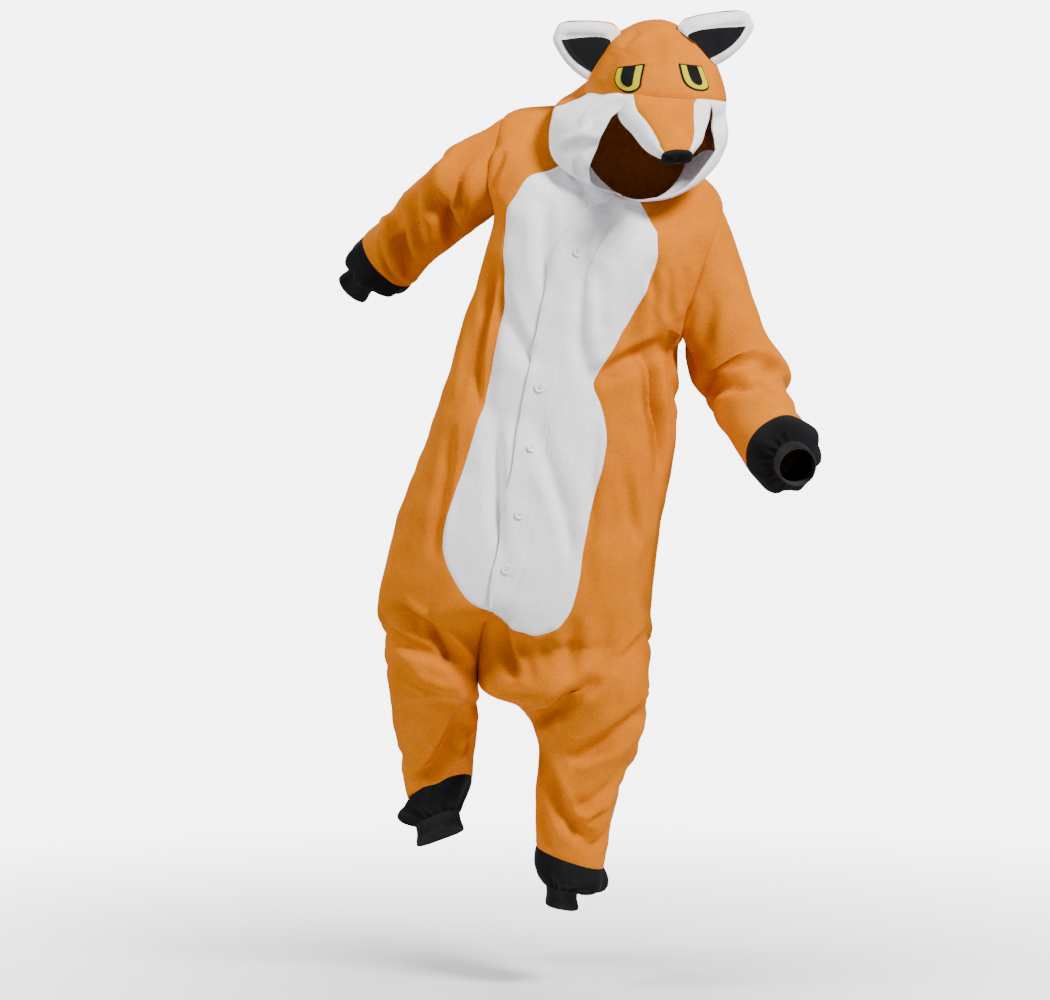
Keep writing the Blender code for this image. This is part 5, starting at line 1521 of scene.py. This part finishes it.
def button_mesh():
    """A flat button with a raised rim and four holes, lying in the XY plane."""
    angle = steps(0, 2 * math.pi, BUTTON_CELLS)[:-1]
    work = bmesh.new()
    rows = [
        [
            work.verts.new((radius * x, radius * y, rise * BUTTON_THICKNESS))
            for x, y in BUTTON_RADIUS * np.stack([np.cos(angle), np.sin(angle)], -1)
        ]
        for radius, rise in BUTTON_PROFILE
    ]
    for low, high in zip(rows[:-1], rows[1:]):
        for k in range(BUTTON_CELLS):
            work.faces.new((low[k - 1], low[k], high[k], high[k - 1]))
    work.faces.new(rows[0][::-1])
    work.faces.new(rows[-1])
    bmesh.ops.recalc_face_normals(work, faces=work.faces)
    whole = link("button_whole", mesh_from(work, "button"))
    drills = []
    for x, y in itertools.product((-HOLE_SPREAD, HOLE_SPREAD), repeat=2):
        work = bmesh.new()
        bmesh.ops.create_cone(
            work, cap_ends=True, segments=20, radius1=HOLE_RADIUS, radius2=HOLE_RADIUS, depth=0.01
        )
        drills.append(link("drill", mesh_from(work, "drill"), (x, y, 0)))
        cut = whole.modifiers.new("hole", "BOOLEAN")
        cut.object = drills[-1]
        cut.solver = "EXACT"
    bpy.context.view_layer.update()
    ready = whole.evaluated_get(bpy.context.evaluated_depsgraph_get())
    mesh = bpy.data.meshes.new_from_object(ready)
    for thing in drills + [whole]:
        bpy.data.objects.remove(thing)
    mesh.shade_smooth()
    mesh.set_sharp_from_angle(angle=math.radians(35))
    return mesh


def button_thread():
    """Two crossing stitches of thread through the holes of a button."""
    strands = []
    out = np.array((0, 0, 1))
    reach = HOLE_SPREAD * math.sqrt(2)
    for number, way in enumerate(((1, 1), (1, -1))):
        along = unit(np.array((*way, 0.0)))
        aside = np.array((-along[1], along[0], 0))
        middles = []
        for share in steps(-1, 1, 10):
            sunk = abs(share) ** 6
            rise = BUTTON_THICKNESS * BUTTON_FACE + THREAD_RISE * (1 - sunk) - THREAD_SINK * sunk
            middles.append(along * reach * share + out * (rise + number * THREAD_OVER * (1 - abs(share))))
        strands.append(strand(middles, [THREAD_RADIUS] * len(middles), aside, out, 8))
    return threads("thread", strands, capped=False)


def buttons(line, normals):
    """Buttons on the line down the middle of the placket, each with its thread."""
    button, thread = button_mesh(), button_thread()
    for number, height in enumerate(BUTTONS, 1):
        place, out = (
            np.array([np.interp(height * MM, line[:, 2], values[:, k]) for k in range(3)])
            for values in (line, normals)
        )
        out = unit(out)
        aside = unit(np.cross(out, (0, 0, 1)))
        up = np.cross(aside, out)

        def placed(mesh):
            own = mesh.copy()
            co = np.array([v.co for v in mesh.vertices])
            turned = place + out * BUTTON_LIFT + co @ (aside, up, out)
            own.vertices.foreach_set("co", turned.ravel())
            own.update()
            return own

        stand_in(f"button_{number}", placed(button), "button")
        show(f"button_thread_{number}", placed(thread), "white_thread")


# ---- materials ----
def feed(tree, node, inputs):
    """Links each of a node's inputs to another node's output, or sets it to a value."""
    for name, value in inputs.items():
        if isinstance(value, bpy.types.NodeSocket):
            tree.links.new(value, node.inputs[name])
        else:
            node.inputs[name].default_value = value
    return node


def nodes_of(name):
    """A new material, its node tree, its shader and the place on the object."""
    material = bpy.data.materials.new(name)
    material.use_nodes = True
    tree = material.node_tree
    place = tree.nodes.new("ShaderNodeTexCoord").outputs["Object"]
    return material, tree, tree.nodes["Principled BSDF"], place


def noise(tree, place, scale, detail, rough=0.5):
    inputs = {"Scale": scale, "Detail": detail, "Roughness": rough, "Vector": place}
    return feed(tree, tree.nodes.new("ShaderNodeTexNoise"), inputs).outputs["Fac"]


def ramp(tree, value, *stops):
    """A colour that runs between the two stops, (value, colour)."""
    node = feed(tree, tree.nodes.new("ShaderNodeValToRGB"), {"Fac": value})
    for element, (place, colour) in zip(node.color_ramp.elements, stops):
        element.position = place
        element.color = (*colour, 1)
    return node.outputs["Color"]


def multiplied(tree, first, second):
    node = tree.nodes.new("ShaderNodeMix")
    node.data_type = "RGBA"
    node.blend_type = "MULTIPLY"
    return feed(tree, node, {"Factor": 1.0, "A": first, "B": second}).outputs["Result"]


def bump(tree, shader, *layers):
    """Adds bump layers, (height, strength, distance), to a shader."""
    before = {}
    for height, strength, distance in layers:
        inputs = {"Strength": strength, "Distance": distance, "Height": height, **before}
        node = feed(tree, tree.nodes.new("ShaderNodeBump"), inputs)
        before = {"Normal": node.outputs["Normal"]}
    feed(tree, shader, before)


def fleece(name, colour, shade, sheen):
    """Brushed fleece: matted tufts of pile a few millimetres across, over fine fibres."""
    material, tree, shader, place = nodes_of(name)
    cloudy = ramp(tree, noise(tree, place, 14, 3), (0.35, shade), (0.62, colour))
    tufts = noise(tree, place, 260, 4, 0.6)
    fibres = noise(tree, place, 1100, 3, 0.7)
    speckle = ramp(tree, tufts, (0.30, (0.78, 0.78, 0.78)), (0.70, (1.0, 1.0, 1.0)))
    feed(tree, shader, {
        "Base Color": multiplied(tree, cloudy, speckle),
        "Roughness": 0.92,
        "Specular IOR Level": 0.06,
        "Sheen Weight": sheen,
        "Sheen Roughness": 0.45,
        "Sheen Tint": (*(0.5 + 0.5 * part for part in colour), 1),
    })
    bump(tree, shader, (tufts, 0.35, 0.0012), (fibres, 0.30, 0.0005))
    return material


def felt(name, colour, shade):
    """Pressed felt, with its fibres showing."""
    material, tree, shader, place = nodes_of(name)
    fibres = noise(tree, place, 900, 4, 0.7)
    base = ramp(tree, fibres, (0.3, shade), (0.65, colour))
    feed(tree, shader, {"Base Color": base, "Roughness": 0.9, "Specular IOR Level": 0.1})
    bump(tree, shader, (fibres, 0.3, 0.0005))
    return material


def plain(name, colour, shade, roughness, scale, strength):
    """A plain matter in patches of two close colours: rib knit, thread or plastic."""
    material, tree, shader, place = nodes_of(name)
    patches = noise(tree, place, scale, 3)
    base = ramp(tree, patches, (0.35, shade), (0.65, colour))
    feed(tree, shader, {"Base Color": base, "Roughness": roughness})
    bump(tree, shader, (patches, strength, 0.0003))
    return material


MATERIALS = {
    "orange": fleece("fleece_orange", (0.62, 0.170, 0.0), (0.55, 0.145, 0.0), 0.0),
    "white": fleece("fleece_white", (0.93, 0.92, 0.96), (0.89, 0.88, 0.93), 0.03),
    "black": fleece("fleece_black", (0.010, 0.010, 0.012), (0.006, 0.006, 0.007), 0.02),
    "rib": plain("rib_black", (0.009, 0.009, 0.010), (0.005, 0.005, 0.006), 0.9, 700, 0.4),
    "felt": felt("felt_yellow", (0.47, 0.43, 0.0), (0.40, 0.36, 0.0)),
    "button": plain("plastic_white", (0.86, 0.86, 0.88), (0.83, 0.83, 0.86), 0.28, 90, 0.05),
    "white_thread": plain("thread_white", (0.80, 0.79, 0.83), (0.70, 0.69, 0.74), 0.7, 1800, 0.4),
}

SIDES = {"left": -1, "right": 1}


# ---- stage ----
CAMERA = (-0.1746, -4.5, -0.558)
CAMERA_LENS = 85.71  # mm, on a sensor 36 mm wide
FLOOR = (-0.17, 0, -1.44)
FLOOR_RADIUS = 2.5
FLOOR_FADE = (0.3, 2.4)  # how far from its middle the floor begins and ends to fade out
SKY_LIGHT = 0.42  # strength of the light from all round
SKY_SEEN = 6.0  # strength of the background that the camera sees
LAMPS = (
    # name, power, size, place, aim
    ("key", 390, 1.1, (2.3, -2.4, 2.3), (-0.1, 0, -0.5)),
    ("fill", 110, 0.9, (-3.1, -1.2, 1.7), (-0.2, 0, -0.3)),
    ("rim", 60, 1.2, (-1.8, 2.4, 1.6), (-0.15, 0, -0.4)),
)


def lay_floor():
    """A pale round floor that fades out towards its edge."""
    work = bmesh.new()
    bmesh.ops.create_circle(work, cap_ends=True, segments=96, radius=FLOOR_RADIUS)
    floor = link("floor", mesh_from(work, "floor"), FLOOR)
    material, tree, shader, place = nodes_of("floor")
    far = tree.nodes.new("ShaderNodeVectorMath")
    far.operation = "LENGTH"
    tree.links.new(place, far.inputs[0])
    start, end = FLOOR_FADE
    fade = feed(tree, tree.nodes.new("ShaderNodeMapRange"), {
        "From Min": start, "From Max": end, "To Min": 1.0, "To Max": 0.0, "Value": far.outputs["Value"],
    })
    feed(tree, shader, {
        "Base Color": (0.92, 0.92, 0.92, 1), "Roughness": 0.9, "Alpha": fade.outputs["Result"],
    })
    floor.data.materials.append(material)


def light_sky():
    """Even light from all round, before a brighter white background."""
    world = bpy.data.worlds.new("studio")
    world.use_nodes = True
    tree = world.node_tree
    sky = feed(tree, tree.nodes["Background"], {"Color": (1, 1, 1, 1), "Strength": SKY_LIGHT})
    seen = tree.nodes.new("ShaderNodeBackground")
    feed(tree, seen, {"Color": (1, 1, 1, 1), "Strength": SKY_SEEN})
    ray = tree.nodes.new("ShaderNodeLightPath")
    either = tree.nodes.new("ShaderNodeMixShader")
    for number, source in enumerate((ray.outputs["Is Camera Ray"], sky.outputs[0], seen.outputs[0])):
        tree.links.new(source, either.inputs[number])
    tree.links.new(either.outputs[0], tree.nodes["World Output"].inputs["Surface"])
    bpy.context.scene.world = world


def stage():
    """The floor, the light and the camera."""
    lay_floor()
    light_sky()
    for name, power, size, place, aim in LAMPS:
        lamp = bpy.data.lights.new(name, "AREA")
        lamp.energy = power
        lamp.size = size
        turned = (Vector(aim) - Vector(place)).to_track_quat("-Z", "Y").to_euler()
        link(name, lamp, place).rotation_euler = turned
    camera = bpy.data.cameras.new("camera")
    camera.lens = CAMERA_LENS
    camera.sensor_width = 36
    thing = link("camera", camera, CAMERA)
    thing.rotation_euler = (math.pi / 2, 0, 0)
    bpy.context.scene.camera = thing


def build():
    """Makes the whole garment."""
    pieces = body_pieces() + tube_pieces() + hood_pieces() + muzzle_pieces()
    press(pieces)
    close_neck(pieces)
    made = make_shells(pieces)
    ears()
    eyes()
    buttons(*placket(pieces))


build()
stage()
